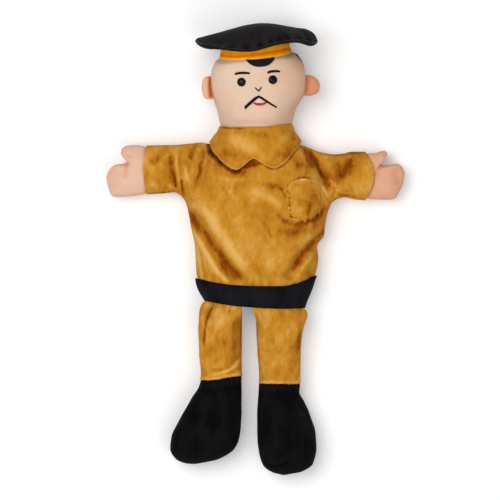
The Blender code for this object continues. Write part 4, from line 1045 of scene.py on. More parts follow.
class PuppetLook(bpy.types.PropertyGroup):
    """Colours and depths of the puppet's cloth."""

    velvet: colour_setting("Velveteen", "Colour of the tunic and legs", (0.571, 0.250, 0.020))
    # The brushed-up colour is painted highlight where ridges and the nap catch the light; the
    # brushed-down colour is painted shade in folds and under the collar, and also the darker
    # patches of the nap.
    velvet_light: colour_setting("Velveteen, brushed up", "Colour where the nap catches the light",
                                 (0.760, 0.430, 0.110))
    velvet_dark: colour_setting("Velveteen, brushed down", "Colour in the folds",
                                (0.300, 0.074, 0.002))
    velvet_sheen: share_setting("Nap sheen", "How much the nap lightens where it is seen edge on",
                                0.18)
    skin: colour_setting("Face cotton", "Colour of the head", (0.775, 0.552, 0.413))
    # The creased face colour is painted shade, in creases and towards the viewer's right.
    skin_deep: colour_setting("Face cotton, creased", "Colour of the cotton in its creases",
                              (0.50, 0.12, 0.03))
    hand: colour_setting("Hand cotton", "Colour of the left hand", (0.785, 0.500, 0.370))
    # The warmer hand colour is painted shade: the hand cotton as it lies on the shaded right side;
    # the ears take it tinted.
    hand_warm_shaded: colour_setting("Hand cotton, warmer", "Colour of the right hand and the ears",
                              (0.755, 0.410, 0.260))
    black: colour_setting("Black cloth", "Colour of the cap, belt and boots",
                          (0.0050, 0.0040, 0.0048))
    ribbon: colour_setting("Cap ribbon", "Colour of the cap's band", (1.0, 0.305, 0.002))
    crease_depth: share_setting("Crease depth", "How deep the sharp creases of the tunic are",
                                1.0, 2.0)
    stitch_spacing: length_setting("Stitch spacing", "From one stitch of a seam to the next",
                                   0.0028, 0.001, 0.01)


class PuppetStage(bpy.types.PropertyGroup):
    """Floor, light and camera."""

    floor: colour_setting("Floor", "Colour of the floor", (0.90, 0.90, 0.90))
    key_power: power_setting("Key light", "Power of the large soft light", 20.0)
    fill_power: power_setting("Fill light", "Power of the light on the other side", 8.0)
    room: share_setting("Room light", "Strength of the light from all round", 0.34, 2.0)
    distance: length_setting("Camera distance", "Height of the camera over the table",
                             3.0, 0.5, 10.0)
    field: length_setting("Picture width", "Width of table that the picture shows",
                          0.465, 0.1, 2.0)


# Tunic


def sew(points, lift):
    """Bring a panel's side seams to their height over or under the plane of the seams."""
    along = np.linspace(0, 1, points.shape[1])
    seam = np.minimum(along, along[::-1]) < MIDDLE_START - 0.001
    for row in (0, -1):
        points[row, seam, 2] = SEAM_HEIGHT + lift


def collar_shade(x, y):
    """How dark the tunic lies in the collar's notch, and below the collar's edge."""
    middle, half = span(torso(y))
    half = half + EASE + 0.0004
    place = np.clip((x - middle) / half, -1.05, 1.05)
    below = y - curve(COLLAR_EDGE, place - 0.0012 * np.sign(place) * np.abs(place) ** 7 / half)
    notch = (ease((y - 0.0545 - 0.21 * (x + 0.016)) / 0.0018) * ease((x + 0.0175) / 0.003)
             * ease((0.0115 - x) / 0.003))
    sharp_left = (ease(-below / 0.0008) * ease((below + 0.0056) / 0.0040)
                  * ease((-0.012 - x) / 0.004))
    soft_left = hump(below + 0.0065, 0.0050) * ease((0.010 - x) / 0.020)
    thin_right = hump(below + 0.0005, 0.0012) * ease((x - 0.006) / 0.003)
    near = ease((y - 0.044) / 0.006) * ease((0.0475 - np.abs(x)) / 0.003)
    return (1.25 * notch * ease(-below / 0.001 + 1.0),
            (1.9 * sharp_left + 0.65 * soft_left + 0.9 * thin_right) * near)


class PUPPET_OT_tunic(bpy.types.Operator):
    """Make the front and the back panel of the tunic."""

    bl_idname = "puppet.tunic"
    bl_label = "Tunic"

    def execute(self, context):
        look = context.scene.puppet_look
        x, y = panel(*FRONT_GRID)
        z, fold = front_height(x, y, look.crease_depth)
        points = stack(x, y, z)
        # Painted light and shade: fold tone, painted strokes, and painted shadow in the collar's
        # notch and under its edge.
        notch, shadow = collar_shade(x, y)
        fold = np.maximum(-1.6, 0.35 * fold + folded(x, y, NAP_AND_PAINTED_LIGHT)) - notch
        fold = np.maximum(-2.1, fold - shadow)
        sew(points, 0.5 * GAP)
        front = add_piece("tunic_front_cloth", points, velveteen("tunic_velveteen", look),
                          size=(0.24, 0.16), fold=fold)
        thicken(front, VELVETEEN)
        hand_over(front, "tunic_front")

        x, y = panel(*BACK_GRID)
        points = stack(x, y, back_height(x, y))
        sew(points, -0.5 * GAP)
        back = add_piece("tunic_back_cloth", points, velveteen("tunic_back_velveteen", look),
                         size=(0.24, 0.16))
        thicken(back, VELVETEEN)
        hand_over(back, "tunic_back")
        return {"FINISHED"}


class PUPPET_OT_belt(bpy.types.Operator):
    """Make the belt."""

    bl_idname = "puppet.belt"
    bl_label = "Belt"

    def execute(self, context):
        look = context.scene.puppet_look
        angle = angle_row(220)
        v = share_column(17)
        place = np.sign(np.cos(angle)) * np.abs(np.cos(angle)) ** (2.0 / FRONT_POWER)
        upper = np.where(np.sin(angle) >= 0, curve(BELT_TOP, place), curve(BELT_BACK, place))
        y = mix(upper, curve(BELT_BOTTOM, place), v)
        swell = 0.0003 * np.sin(math.pi * v) + 0.00025 * np.sin(angle * 9.0 + 2.0 * v)
        points = ring_points(grown(torso(y), EASE), angle + 0 * y, y)
        points[..., 2] += np.where(np.sin(angle) > 0.1, swell, 0.0)
        points[..., 0] -= 0.0017 * np.sin(math.pi * v) * np.maximum(0.0, -place) ** 8
        finish = black_cloth("belt_black", look.black, (0.012, 0.012, 0.016), 0.02)
        # The swell also paints the belt lighter where it bulges, as painted highlight.
        belt = add_piece("belt_cloth", points, finish, loop=True, size=(0.30, 0.022),
                         fold=swell / 0.0006 + 0 * y)
        thicken(belt, BLACK_CLOTH, outside=True)
        hand_over(belt, "belt")
        return {"FINISHED"}


class PUPPET_OT_collar(bpy.types.Operator):
    """Make the turned-down collar."""

    bl_idname = "puppet.collar"
    bl_label = "Collar"

    def execute(self, context):
        look = context.scene.puppet_look
        angle = angle_row(240)
        v = share_column(31)
        front = np.sin(angle) >= -1e-9
        place = np.cos(angle)
        place = place - 0.03 * (1.0 - place * place)
        low = np.where(front, curve(COLLAR_EDGE, place), curve(COLLAR_BACK, place))
        y = mix(curve(COLLAR_TOP, place), low, v)
        section = torso(y)
        middle, half = span(section)
        half = half + EASE + 0.0004 * v
        x = middle + half * place + 0.0012 * ease(3.5 * v) * np.sign(place) * np.abs(place) ** 7
        soft = folded(x, y, strokes((0.005, 0.0010, -25, 84, -12, 78, -2, 72),
                                    (0.005, -0.0008, 4, 88, 12, 80, 20, 74),
                                    (0.004, -0.0007, -12, 91, -2, 88, 10, 90),
                                    (0.004, 0.0007, 24, 88, 27, 79, 24, 71)))
        stand = mix(0.0016, 0.0010, v) + 0.0010 * np.sin(math.pi * v) + soft
        stand = stand + 0.0022 * ease((v - 0.60) / 0.40) * hump(place + 0.40, 0.42)
        rise = SEAM_HEIGHT + (section.rise + EASE + stand) * dome(place, FRONT_POWER)
        fall = SEAM_HEIGHT - (section.drop + 1.5 * EASE) * dome(place, BACK_POWER)
        z = np.where(front, rise, np.maximum(COLLAR_CLOTH, fall))
        # Painted highlight along the collar's lower edge, painted shade just above it and along its
        # neck line.
        edge = 0.75 * hump(v - 1.0, 0.022) - 0.35 * hump(v - 0.93, 0.03) - 0.35 * hump(v, 0.05)
        # Nap patches of the collar with painted highlights and shade along its folds; the soft
        # folds add painted light and shade too.
        nap = np.where(front, folded(x, y, COLLAR_NAP_AND_PAINTED_LIGHT), 0.0)
        collar = add_piece("collar_cloth", stack(x, y, z),
                           velveteen("collar_velveteen", look, patch_share=0.45), loop=True,
                           size=(0.24, 0.035), fold=0.4 * soft / 0.0016 + edge - 0.12 + nap)
        thicken(collar, COLLAR_CLOTH, outside=True)
        hand_over(collar, "collar")
        return {"FINISHED"}


def pocket_place(u, v):
    """Flat place on the chest pocket."""
    low = curve(((0.0, 0.0130), (0.15, 0.0095), (0.35, 0.0070), (0.6, 0.0070),
                 (0.85, 0.0105), (1.0, 0.0150)), u)
    high = curve(((0.0, 0.0410), (0.3, 0.0462), (0.6, 0.0478), (1.0, 0.0460)), u)
    return mix(mix(0.0298, 0.0268, v), mix(0.0586, 0.0598, v), u), mix(low, high, v)


def over_front(x, y, lift):
    """Points at a height over the tunic's front."""
    step = 0.0004
    z = front_height(x, y)[0]
    dx = (front_height(x + step, y)[0] - front_height(x - step, y)[0]) / (2 * step)
    dy = (front_height(x, y + step)[0] - front_height(x, y - step)[0]) / (2 * step)
    normal = unit(stack(-dx, -dy, 1.0))
    return stack(x, y, z) + normal * np.asarray(lift)[..., None]


class PUPPET_OT_pocket(bpy.types.Operator):
    """Make the chest pocket and its stitching."""

    bl_idname = "puppet.pocket"
    bl_label = "Chest pocket"

    def execute(self, context):
        look = context.scene.puppet_look
        u, v = grid(71, 71)
        x, y = pocket_place(u, v)
        rim = np.minimum(np.minimum(u, 1.0 - u) * 0.031, v * 0.036)
        pucker = 1.8 * lumps(stack(x, y, 0.0), 0.0028, 4) * hump(rim - 0.0018, 0.0018)
        seamed = np.maximum(ease((0.40 - u) / 0.2), ease((0.35 - v) / 0.2))
        bulge = 0.0010 * np.sin(math.pi * u) ** 0.7 * ease(2.2 * v)
        mouth = 0.0010 * hump(v - 1.0, 0.10) * hump(u - 0.45, 0.14)
        lift = (GAP + 0.0004 + bulge + 0.0004 * pucker * seamed + mouth
                - 0.0003 * hump(rim - 0.0018, 0.0008))
        # Painted light and shade: lighter and darker puckers along the seams, a painted shade line
        # along the rim, a painted highlight on the gaping mouth, and the tunic's painted strokes.
        fold = (1.1 * pucker - 0.45 * hump(rim - 0.0020, 0.0011)) * seamed + 0.5 * mouth / 0.0010
        fold = fold + folded(x, y, NAP_AND_PAINTED_LIGHT)
        pocket = add_piece("chest_pocket_cloth", over_front(x, y, lift),
                           velveteen("pocket_velveteen", look), size=(0.034, 0.038), fold=fold)
        thicken(pocket, 0.0004)
        hand_over(pocket, "chest_pocket")

        t = np.linspace(0, 1, 60)
        left, right, foot, top = 0.055, 0.945, 0.05, 0.97
        u = np.concatenate((left + 0 * t, mix(left, right, t), right + 0 * t))
        v = np.concatenate((mix(top, foot, t), foot + 0 * t, mix(foot, top, t)))
        x, y = pocket_place(u, v)
        line = over_front(x, y, GAP + 0.00045 + 0 * x)
        seam = stitched("pocket_stitches", line.tolist(),
                        thread("pocket_thread", shade(look.velvet, 0.85)), look.stitch_spacing,
                        length=0.0017, radius=0.00018)
        hand_over(seam, "chest_pocket", whole=False)
        return {"FINISHED"}


# Head

CAP_UP = Vector((-CAP_ROLL, 1.0, CAP_PITCH)).normalized()
CAP_FRONT = (Vector((0, 0, 1)) - CAP_UP * CAP_UP.z).normalized()
CAP_TURN = np.array(Matrix((CAP_UP.cross(CAP_FRONT), CAP_UP, CAP_FRONT)).transposed())


def from_cap(points):
    """Points of the cap's own axes, where Y runs up through the crown, placed on the head."""
    return points @ CAP_TURN.T + np.array(CAP_SEAT)


def to_cap(points):
    """Points on the head in the cap's own axes."""
    return (points - np.array(CAP_SEAT)) @ CAP_TURN


def squeeze(points, spare):
    """Draw points of the head in to where the cap's band grips it."""
    local = to_cap(points)
    tight = mix(1.0, BAND_TAPER, np.clip(local[..., 1] / BAND_TALL, 0.0, 1.0))
    below = np.maximum(0.0, -0.0003 - local[..., 1])
    limit = tight + 0.110 * (below / 0.001) ** 0.75
    ratio = np.hypot(local[..., 0] / ((BAND_HALF_X - spare) * limit),
                     local[..., 2] / ((BAND_HALF_Z - spare) * limit))
    ratio = np.maximum(ratio, 1.0)
    local[..., 0] /= ratio
    local[..., 2] /= ratio
    return from_cap(local)


def skin_points(angle, y):
    """Points of the head's surface at angles and heights along the puppet."""
    section = Section(-curve(HEAD_LEFT, y), curve(HEAD_RIGHT, y), curve(HEAD_SEAT, y),
                      curve(HEAD_RISE, y), curve(HEAD_DROP, y))
    return squeeze(ring_points(section, angle, y), BAND_CLOTH + EASE)


def over_head(angle, y, lift):
    """Points at a height over the head's surface."""
    around = skin_points(angle + 0.01, y) - skin_points(angle - 0.01, y)
    along = skin_points(angle, y + 0.0004) - skin_points(angle, y - 0.0004)
    outward = unit(np.cross(along, around))
    points = skin_points(angle, y) + outward * np.asarray(lift)[..., None]
    points[..., 2] = np.maximum(0.0, points[..., 2])
    return points


def with_ends(points, first, last):
    """The same table of points between two more rows, each drawn in to one point."""
    row = points[:1].shape
    return np.concatenate((np.broadcast_to(first, row), points, np.broadcast_to(last, row)))


class PUPPET_OT_head(bpy.types.Operator):
    """Make the stuffed head, its ears and the cloth over its back."""

    bl_idname = "puppet.head"
    bl_label = "Head"

    def execute(self, context):
        look = context.scene.puppet_look
        angle = angle_row(144)
        v = share_column(97)
        y = mix(HEAD_FOOT_Y, HEAD_LEFT[-1][0] - 0.00002, 1.0 - (1.0 - v) ** 1.7)
        points = skin_points(angle + 0 * y, y + 0 * angle)
        seam = hump(np.minimum(np.abs(np.sin(0.5 * (angle - math.radians(352)))),
                               np.abs(np.sin(0.5 * (angle - math.radians(200))))), 0.012)
        centre = np.array((0.0, 0.0, HEAD_HEIGHT))
        points = points - (points - centre) * (0.006 * seam[..., None]) * np.array((1, 0, 1))
        ends = with_ends(points, (0, HEAD_FOOT_Y, 0.026), (0.0024, HEAD_LEFT[-1][0], HEAD_HEIGHT))
        lit = strokes((0.0120, 0.55, -24, 104, 0, 101, 22, 104),
                      (0.0100, 0.30, -30, 152, -12, 153, 6, 152))
        fold = folded(ends[..., 0], ends[..., 1], lit) * ease((ends[..., 2] - 0.045) / 0.01)
        # Painted shade on the head along the ears' roots, stronger beside the left ear.
        beside = np.where(ends[..., 0] < 0.0, 1.3, 0.4)
        fold -= beside * hump(ends[..., 1] - 0.132, 0.0125) * hump(ends[..., 2] - 0.0395, 0.0050)
        # The face cotton takes painted shade in its creases and towards the viewer's right.
        head = add_piece("stuffed_head", ends,
                         cotton("face_cotton", look.skin, look.skin_deep, 0.5, 0.17),
                         loop=True, size=(0.27, 0.13), fold=fold)
        press(head, 0.00022, 0.018, 3)
        hand_over(head, "head")

        # Each ear's tint on the warm hand colour is painted light and shade: lighter on the left
        # ear, darker on the right ear in the head's shade; its creases take painted shade.
        ears = (("left_ear", EAR_LEFT, (-0.0435, 0.132), (1.04, 1.12, 1.08),
                 strokes((0.0022, -0.0028, -41.9, 144, -42.2, 132, -41.0, 121))),
                ("right_ear", EAR_RIGHT, (0.049, 0.1335), (0.88, 0.70, 0.58),
                 strokes((0.0022, -0.0008, 46.8, 143, 46.6, 134, 46.2, 125))))
        for name, outline, middle, tint, root in ears:
            colour = tuple(a * b for a, b in zip(look.hand_warm_shaded, tint))
            ear = pillow("stuffed_" + name, outline, middle, HEAD_HEIGHT, EAR_RISE,
                         cotton(name + "_cotton", colour, look.skin_deep, 0.6), root, 96, 24)
            press(ear, 0.00025, 0.006, 5)
            hand_over(ear, name)

        u, v = grid(121, 61)
        edge = curve(((0.0, 322), (0.5, 341), (0.8, 348), (1.0, 356)), v)
        turn = np.radians(mix(mix(222, 214, v), edge, u))
        low = 0.100 + 0.022 * np.abs(np.cos(turn)) ** 6
        section = Section(-curve(HEAD_LEFT, 0.160), curve(HEAD_RIGHT, 0.160), HEAD_HEIGHT,
                          curve(HEAD_RISE, 0.160), curve(HEAD_DROP, 0.160))
        edge = ring_points(section, turn, 0.0)
        high = (CAP_SEAT[1] + CAP_ROLL * (edge[..., 0] - CAP_SEAT[0])
                - CAP_PITCH * (edge[..., 2] - CAP_SEAT[2]) - 0.0045)
        points = over_head(turn, mix(low, high, v), 0.0006 + HAIR_CLOTH + 0 * v)
        hair = add_piece("back_hair_cloth", points,
                         black_cloth("hair_black", look.black, (0.014, 0.013, 0.015), 0.04),
                         size=(0.10, 0.055))
        thicken(hair, HAIR_CLOTH)
        hand_over(hair, "back_hair")

        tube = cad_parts["finger_tube"]
        tube.data.materials.clear()
        lining = cotton("finger_tube_lining", shade(look.skin, 0.8), look.skin_deep)
        tube.data.materials.append(lining)
        return {"FINISHED"}


def over_face(head, x, y, lift):
    """Points at heights over the front of the head."""
    places = zip(x.ravel(), y.ravel(), lift.ravel())
    return np.array([surface_point(head, *place)[0] for place in places]).reshape(*x.shape, 3)


class PUPPET_OT_face(bpy.types.Operator):
    """Sew on the eyes and embroider the face."""

    bl_idname = "puppet.face"
    bl_label = "Face"

    def execute(self, context):
        look = context.scene.puppet_look
        head = bpy.data.objects["stuffed_head"]
        angle = angle_row(40)
        t = share_column(19)
        wide = 0.5 * EYE_WIDTH * curve(((0, 0.0), (0.08, 0.80), (0.2, 0.97), (0.3, 1.0),
                                        (0.6, 0.76), (0.85, 0.33), (1, 0.0)), t)
        tall = 0.5 * EYE_WIDTH * curve(((0, -0.05), (0.2, -0.02), (0.3, 0.10), (0.6, 0.44),
                                        (0.85, 0.60), (1, 0.63)), t)
        local = stack(wide * np.cos(angle), wide * np.sin(angle), tall + 0 * angle)
        for name, x, y in (("left_eye", -0.0133, 0.1352), ("right_eye", 0.0153, 0.1373)):
            place, normal = surface_point(head, x, y, 0.0)
            turn = normal.to_track_quat("Z", "Y").to_matrix()
            points = local @ np.array(turn).T + np.array(place)
            eye = add_piece(name + "_bead", points, bead(name + "_gloss"), loop=True,
                            size=(0.02, 0.01))
            hand_over(eye, name)

        ink = shade(look.black, 0.9)
        blunt = ((0.0, 0.70), (0.08, 1.0), (0.5, 1.0), (0.92, 0.85), (1.0, 0.5))
        lines = (
            ("left_eyebrow", mm(-19.3, 142.6, -16, 143.4, -12.6, 143.6, -9, 143.5, -5.9, 143.1),
             1.55 * THREAD, blunt, ink),
            ("right_eyebrow", mm(10.6, 143.9, 13.4, 144.8, 16.4, 145.2, 19.0, 145.2, 21.6, 144.8),
             1.55 * THREAD, blunt, ink),
            ("nose", mm(-0.8, 130.0, 0.9, 128.5, 2.4, 127.0, 3.7, 128.8, 4.9, 130.8),
             0.85 * THREAD, blunt, (0.055, 0.024, 0.018)),
            ("moustache", mm(-10.2, 112.2, -6.6, 115.4, -3.4, 118.2, -0.2, 120.7, 2.4, 122.3,
                             6.0, 120.3, 10.2, 117.7, 14.4, 115.2, 18.6, 112.9),
             1.95 * THREAD, ((0.0, 1.05), (0.25, 1.0), (0.48, 0.75), (0.6, 0.8), (1.0, 0.75)), ink),
            ("lower_lip", mm(-2.2, 116.6, 0.6, 116.1, 3.4, 115.8, 6.4, 116.0, 9.2, 116.6),
             2.3 * THREAD, ((0.0, 0.35), (0.2, 0.85), (0.5, 1.1), (0.8, 0.85), (1.0, 0.35)),
             (0.56, 0.016, 0.035)),
        )
        for name, points, width, taper, colour in lines:
            knots = np.array(points)
            at = np.linspace(0, 1, 60)
            step = np.linspace(0, 1, len(knots))
            x = np.interp(at, step, knots[:, 0])
            y = np.interp(at, step, knots[:, 1])
            line = [surface_point(head, a, b, 0.00045)[0] for a, b in zip(x, y)]
            done = stitched(name + "_stitches", line, thread(name + "_thread", colour),
                            spacing=0.00042, length=width * 1.12, radius=0.00034,
                            slant=math.radians(68), shares=curve(taper, at))
            hand_over(done, name)

        u, v = grid(25, 13)
        x = mix(mix(-0.0008, 0.0020, v), mix(0.0074, 0.0029, v), u)
        y = mix(0.1166, 0.1202, v)
        lip = add_piece("upper_lip_patch", over_face(head, x, y, 0.00072 + 0 * x),
                        felt("lip_felt", (0.90, 0.66, 0.62)), size=(0.01, 0.004))
        thicken(lip, 0.0006)
        hand_over(lip, "upper_lip")

        u, v = grid(49, 17)
        x = mix(-0.0096, 0.0164, u)
        low = curve(((0.0, 0.1556), (0.13, 0.1520), (0.28, 0.1498), (0.45, 0.1490), (0.62, 0.1492),
                     (0.78, 0.1503), (0.90, 0.1524), (1.0, 0.1556)), u)
        height = HEAD_HEIGHT + curve(HEAD_RISE, 0.156)
        high = CAP_SEAT[1] + CAP_ROLL * x - CAP_PITCH * (height - CAP_SEAT[2]) + 0.0008
        y = mix(np.minimum(low, high - 0.0004), high, v)
        lift = mix(0.0013, 0.00075, ease((v - 0.6) / 0.3))
        lock = add_piece("forelock_patch", over_face(head, x, y, lift),
                         felt("forelock_felt", (0.010, 0.010, 0.012)), size=(0.026, 0.006))
        thicken(lock, 0.0007)
        hand_over(lock, "forelock")
        return {"FINISHED"}


# Cap

def crown_plane(angle, q):
    """Points of the crown's own plane, q being the share of the way to its rim."""
    x = CROWN_HALF_X * np.cos(angle) * q
    z = CROWN_HALF_Z * (1.0 + np.sin(angle) * q)
    return stack(x + 0.0004, CROWN_Y + 0.024 * x - 0.095 * (z - CROWN_HALF_Z), z)


def crown_sway(points, q):
    """Let the soft crown hang at its tips and over the brow."""
    x, z = points[..., 0], points[..., 2]
    edge = ease((q - 0.50) / 0.50)
    brow = ease((z - 0.045) / 0.035)
    sag = 0.0074 * hump(x + 0.006, 0.026) + 0.0032 * hump(x + 0.029, 0.015) + 0.0009
    points[..., 1] -= sag * brow * edge
    points[..., 1] -= 0.0048 * hump(x - 0.056, 0.010) * edge
    points[..., 1] -= 0.0018 * hump(x + 0.053, 0.012) * edge
    points[..., 1] += 0.0006 * np.sin(x * 130.0 + z * 60.0) * ease((z - 0.030) / 0.05) * edge
    return points


class PUPPET_OT_cap(bpy.types.Operator):
    """Make the cap's band and its soft crown."""

    bl_idname = "puppet.cap"
    bl_label = "Cap"

    def execute(self, context):
        look = context.scene.puppet_look
        angle = angle_row(200)
        v = share_column(25)
        size = mix(1.0, BAND_TAPER, v)
        pull = (-0.00045 * hump(v - 0.42 - 0.10 * np.sin(angle * 2.0), 0.10)
                + 0.00025 * hump(v - 0.12, 0.10))
        pull = pull + 0.00006 * np.sin(angle * 17.0 + 3.0 * v)
        wide = (BAND_HALF_X - BAND_CLOTH + pull) * size
        deep = (BAND_HALF_Z - BAND_CLOTH + pull) * size
        local = stack(wide * np.cos(angle), BAND_TALL * v + 0 * angle, deep * np.sin(angle))
        # Painted highlights near the ribbon's lower edge and over its upper part, and painted shade
        # along the crease across its middle.
        fold = (0.9 * pull / 0.00045 + 0.9 * hump(v - 0.03, 0.07) + 0.6 * hump(v - 0.80, 0.22)
                - 0.35 * hump(v - 0.36, 0.2))
        band = add_piece("cap_band_ribbon", from_cap(local),
                         satin("ribbon_satin", look.ribbon, (0.84, 0.160, 0.001),
                               (1.0, 0.52, 0.02)),
                         loop=True, size=(0.205, 0.0105), fold=fold)
        thicken(band, BAND_CLOTH, outside=True)
        hand_over(band, "cap_band")

        angle = angle_row(220)
        v = 1.0 - (1.0 - share_column(41)) ** 2
        q = np.sin(0.5 * math.pi * v)
        top = crown_plane(angle, q)
        pleat = ripples(angle, 31.0, 2.0, 5.0) * ease((q - 0.80) / 0.20)
        top[..., 1] += CROWN_RISE * np.cos(0.5 * math.pi * v) + 0.00022 * pleat
        top[..., 1] += curve(CROWN_SLOPE, top[..., 0]) * (1.0 - q ** 20)
        top = crown_sway(top, q)
        top[..., 1] += 0.0006 * lumps(top, 0.016, 9) * ease((1.0 - q) / 0.2)
        crown = black_cloth("crown_black", shade(look.black, 1.3), (0.028, 0.026, 0.028), 0.04,
                            60.0)
        # Painted light and shade on the pleats, and painted light over the front half of the
        # crown's middle, painted shade over its back half.
        upper = add_piece("cap_crown_top_cloth", top, crown, loop=True, size=(0.11, 0.05),
                          fold=0.5 * pleat + 0.3 * np.cos(angle - 1.2) * (1 - q))
        thicken(upper, CROWN_CLOTH)
        hand_over(upper, "cap_crown_top")

        edge = crown_plane(angle, 1.0)
        hole = from_cap(stack(BAND_HALF_X * BAND_TAPER * np.cos(angle), BAND_TALL + 2.0 * GAP,
                              BAND_HALF_Z * BAND_TAPER * np.sin(angle)))
        v = 1.0 - (1.0 - share_column(29)) ** 2
        q = np.sin(0.5 * math.pi * v)
        under = mix(hole, edge, q[..., None])
        under[..., 1] = mix(edge[..., 1], hole[..., 1], np.cos(0.5 * math.pi * v))
        pleat = ripples(angle, 27.0, 2.0, 4.0) * ease((0.9 - q) / 0.5)
        under[..., 1] -= 0.0003 * pleat * np.sin(math.pi * q)
        under[..., 1] -= (0.0038 * hump(under[..., 0] - 0.049, 0.009)
                          + 0.0024 * hump(under[..., 0] + 0.046, 0.010)) * (1.0 - q ** 12)
        under = crown_sway(under, q)
        crown = black_cloth("crown_under_black", shade(look.black, 1.2), (0.022, 0.020, 0.022),
                            0.04, 60.0)
        # Painted light and shade on the pleats.
        lower = add_piece("cap_crown_under_cloth", under, crown, loop=True, size=(0.11, 0.03),
                          fold=0.6 * pleat)
        thicken(lower, CROWN_CLOTH)
        hand_over(lower, "cap_crown_under")

        line = crown_sway(crown_plane(angle, 1.0), 1.0)[0]
        seam = stitched("crown_seam", np.concatenate((line, line[:1])).tolist(),
                        thread("crown_thread", (0.009, 0.008, 0.009)), spacing=0.0009,
                        length=0.0017, radius=0.0004)
        hand_over(seam, "cap_crown_top", whole=False)
        return {"FINISHED"}


# Limbs

class PUPPET_OT_hands(bpy.types.Operator):
    """Stuff the two mitten hands."""

    bl_idname = "puppet.hands"
    bl_label = "Hands"

    def execute(self, context):
        look = context.scene.puppet_look
        hands = (
            ("left_hand", MITT_LEFT, (-0.1115, 0.056),
             strokes((0.0022, -0.0016, -119.6, 64.4, -121.0, 57, -121.8, 48),
                     (0.0020, -0.0007, -121.0, 70.5, -118.0, 68, -114, 68),
                     (0.0090, -0.0008, -131, 56, -133, 46, -128, 38))),
            ("right_hand", MITT_RIGHT, (0.1105, 0.054),
             strokes((0.0022, -0.0013, 117.4, 63.0, 114, 58, 112.6, 50),
                     (0.0034, -0.0011, 130.5, 58, 129.4, 51, 133.5, 41),
                     (0.0022, -0.0008, 103, 66, 109, 62, 112, 58),
                     (0.0050, 0.0005, 120, 42, 124, 36))))
        for name, outline, middle, creases in hands:
            # The right hand takes the warmer colour, painted shade for the viewer's right; creases
            # take painted shade too.
            colour = look.hand if name == "left_hand" else look.hand_warm_shaded
            hand = pillow("stuffed_" + name, outline, middle, SEAM_HEIGHT, HAND_RISE,
                          cotton(name + "_cotton", colour, look.skin_deep, 0.30), creases, 200, 48)
            press(hand, 0.0004, 0.011, 6)
            hand_over(hand, name)
        return {"FINISHED"}


def leg_points(angle, v, edges, top, foot, belt_end):
    """Points of a stuffed leg, flat under the belt and round at the ankle."""
    y = mix(top, foot, v ** 1.15)
    left, right = curve(edges[0], y), curve(edges[1], y)
    x = 0.5 * (left + right) + 0.5 * (right - left) * np.cos(angle)
    waist = torso(belt_end)
    middle, half = span(waist)
    reach = (x - middle) / half
    arch = waist.seat + waist.rise * dome(np.minimum(0.95, np.abs(reach)), FRONT_POWER)
    flat = stack(x, y, arch + 0.0003 - 0.5 * LEG_TUCK * (1.0 - np.sin(angle)))
    down = ease((y - belt_end) / (foot - belt_end))
    section = Section(left, right, mix(THIGH_HEIGHT, ANKLE_HEIGHT, down), mix(0.0175, 0.0150, down),
                      mix(0.0150, 0.0135, down))
    full = ring_points(section, angle, y, (2.3, 2.3))
    return mix(flat, full, ease((belt_end - y) / 0.017)[..., None])


def facing(angle):
    """1 in front, falling off to 0 at the sides."""
    return ease((np.sin(angle) - 0.05) / 0.5)


def hem_shift(x):
    """How much higher than a straight cut the trouser hems sit on the boots."""
    return np.where(x < -0.005, 0.0009 + 0.0037 * ease((x + 0.045) / 0.030), 0.0013)


def capped(points):
    """The same table of points with both of its ends closed at their middles."""
    return with_ends(points, points[0].mean(axis=0), points[-1].mean(axis=0))


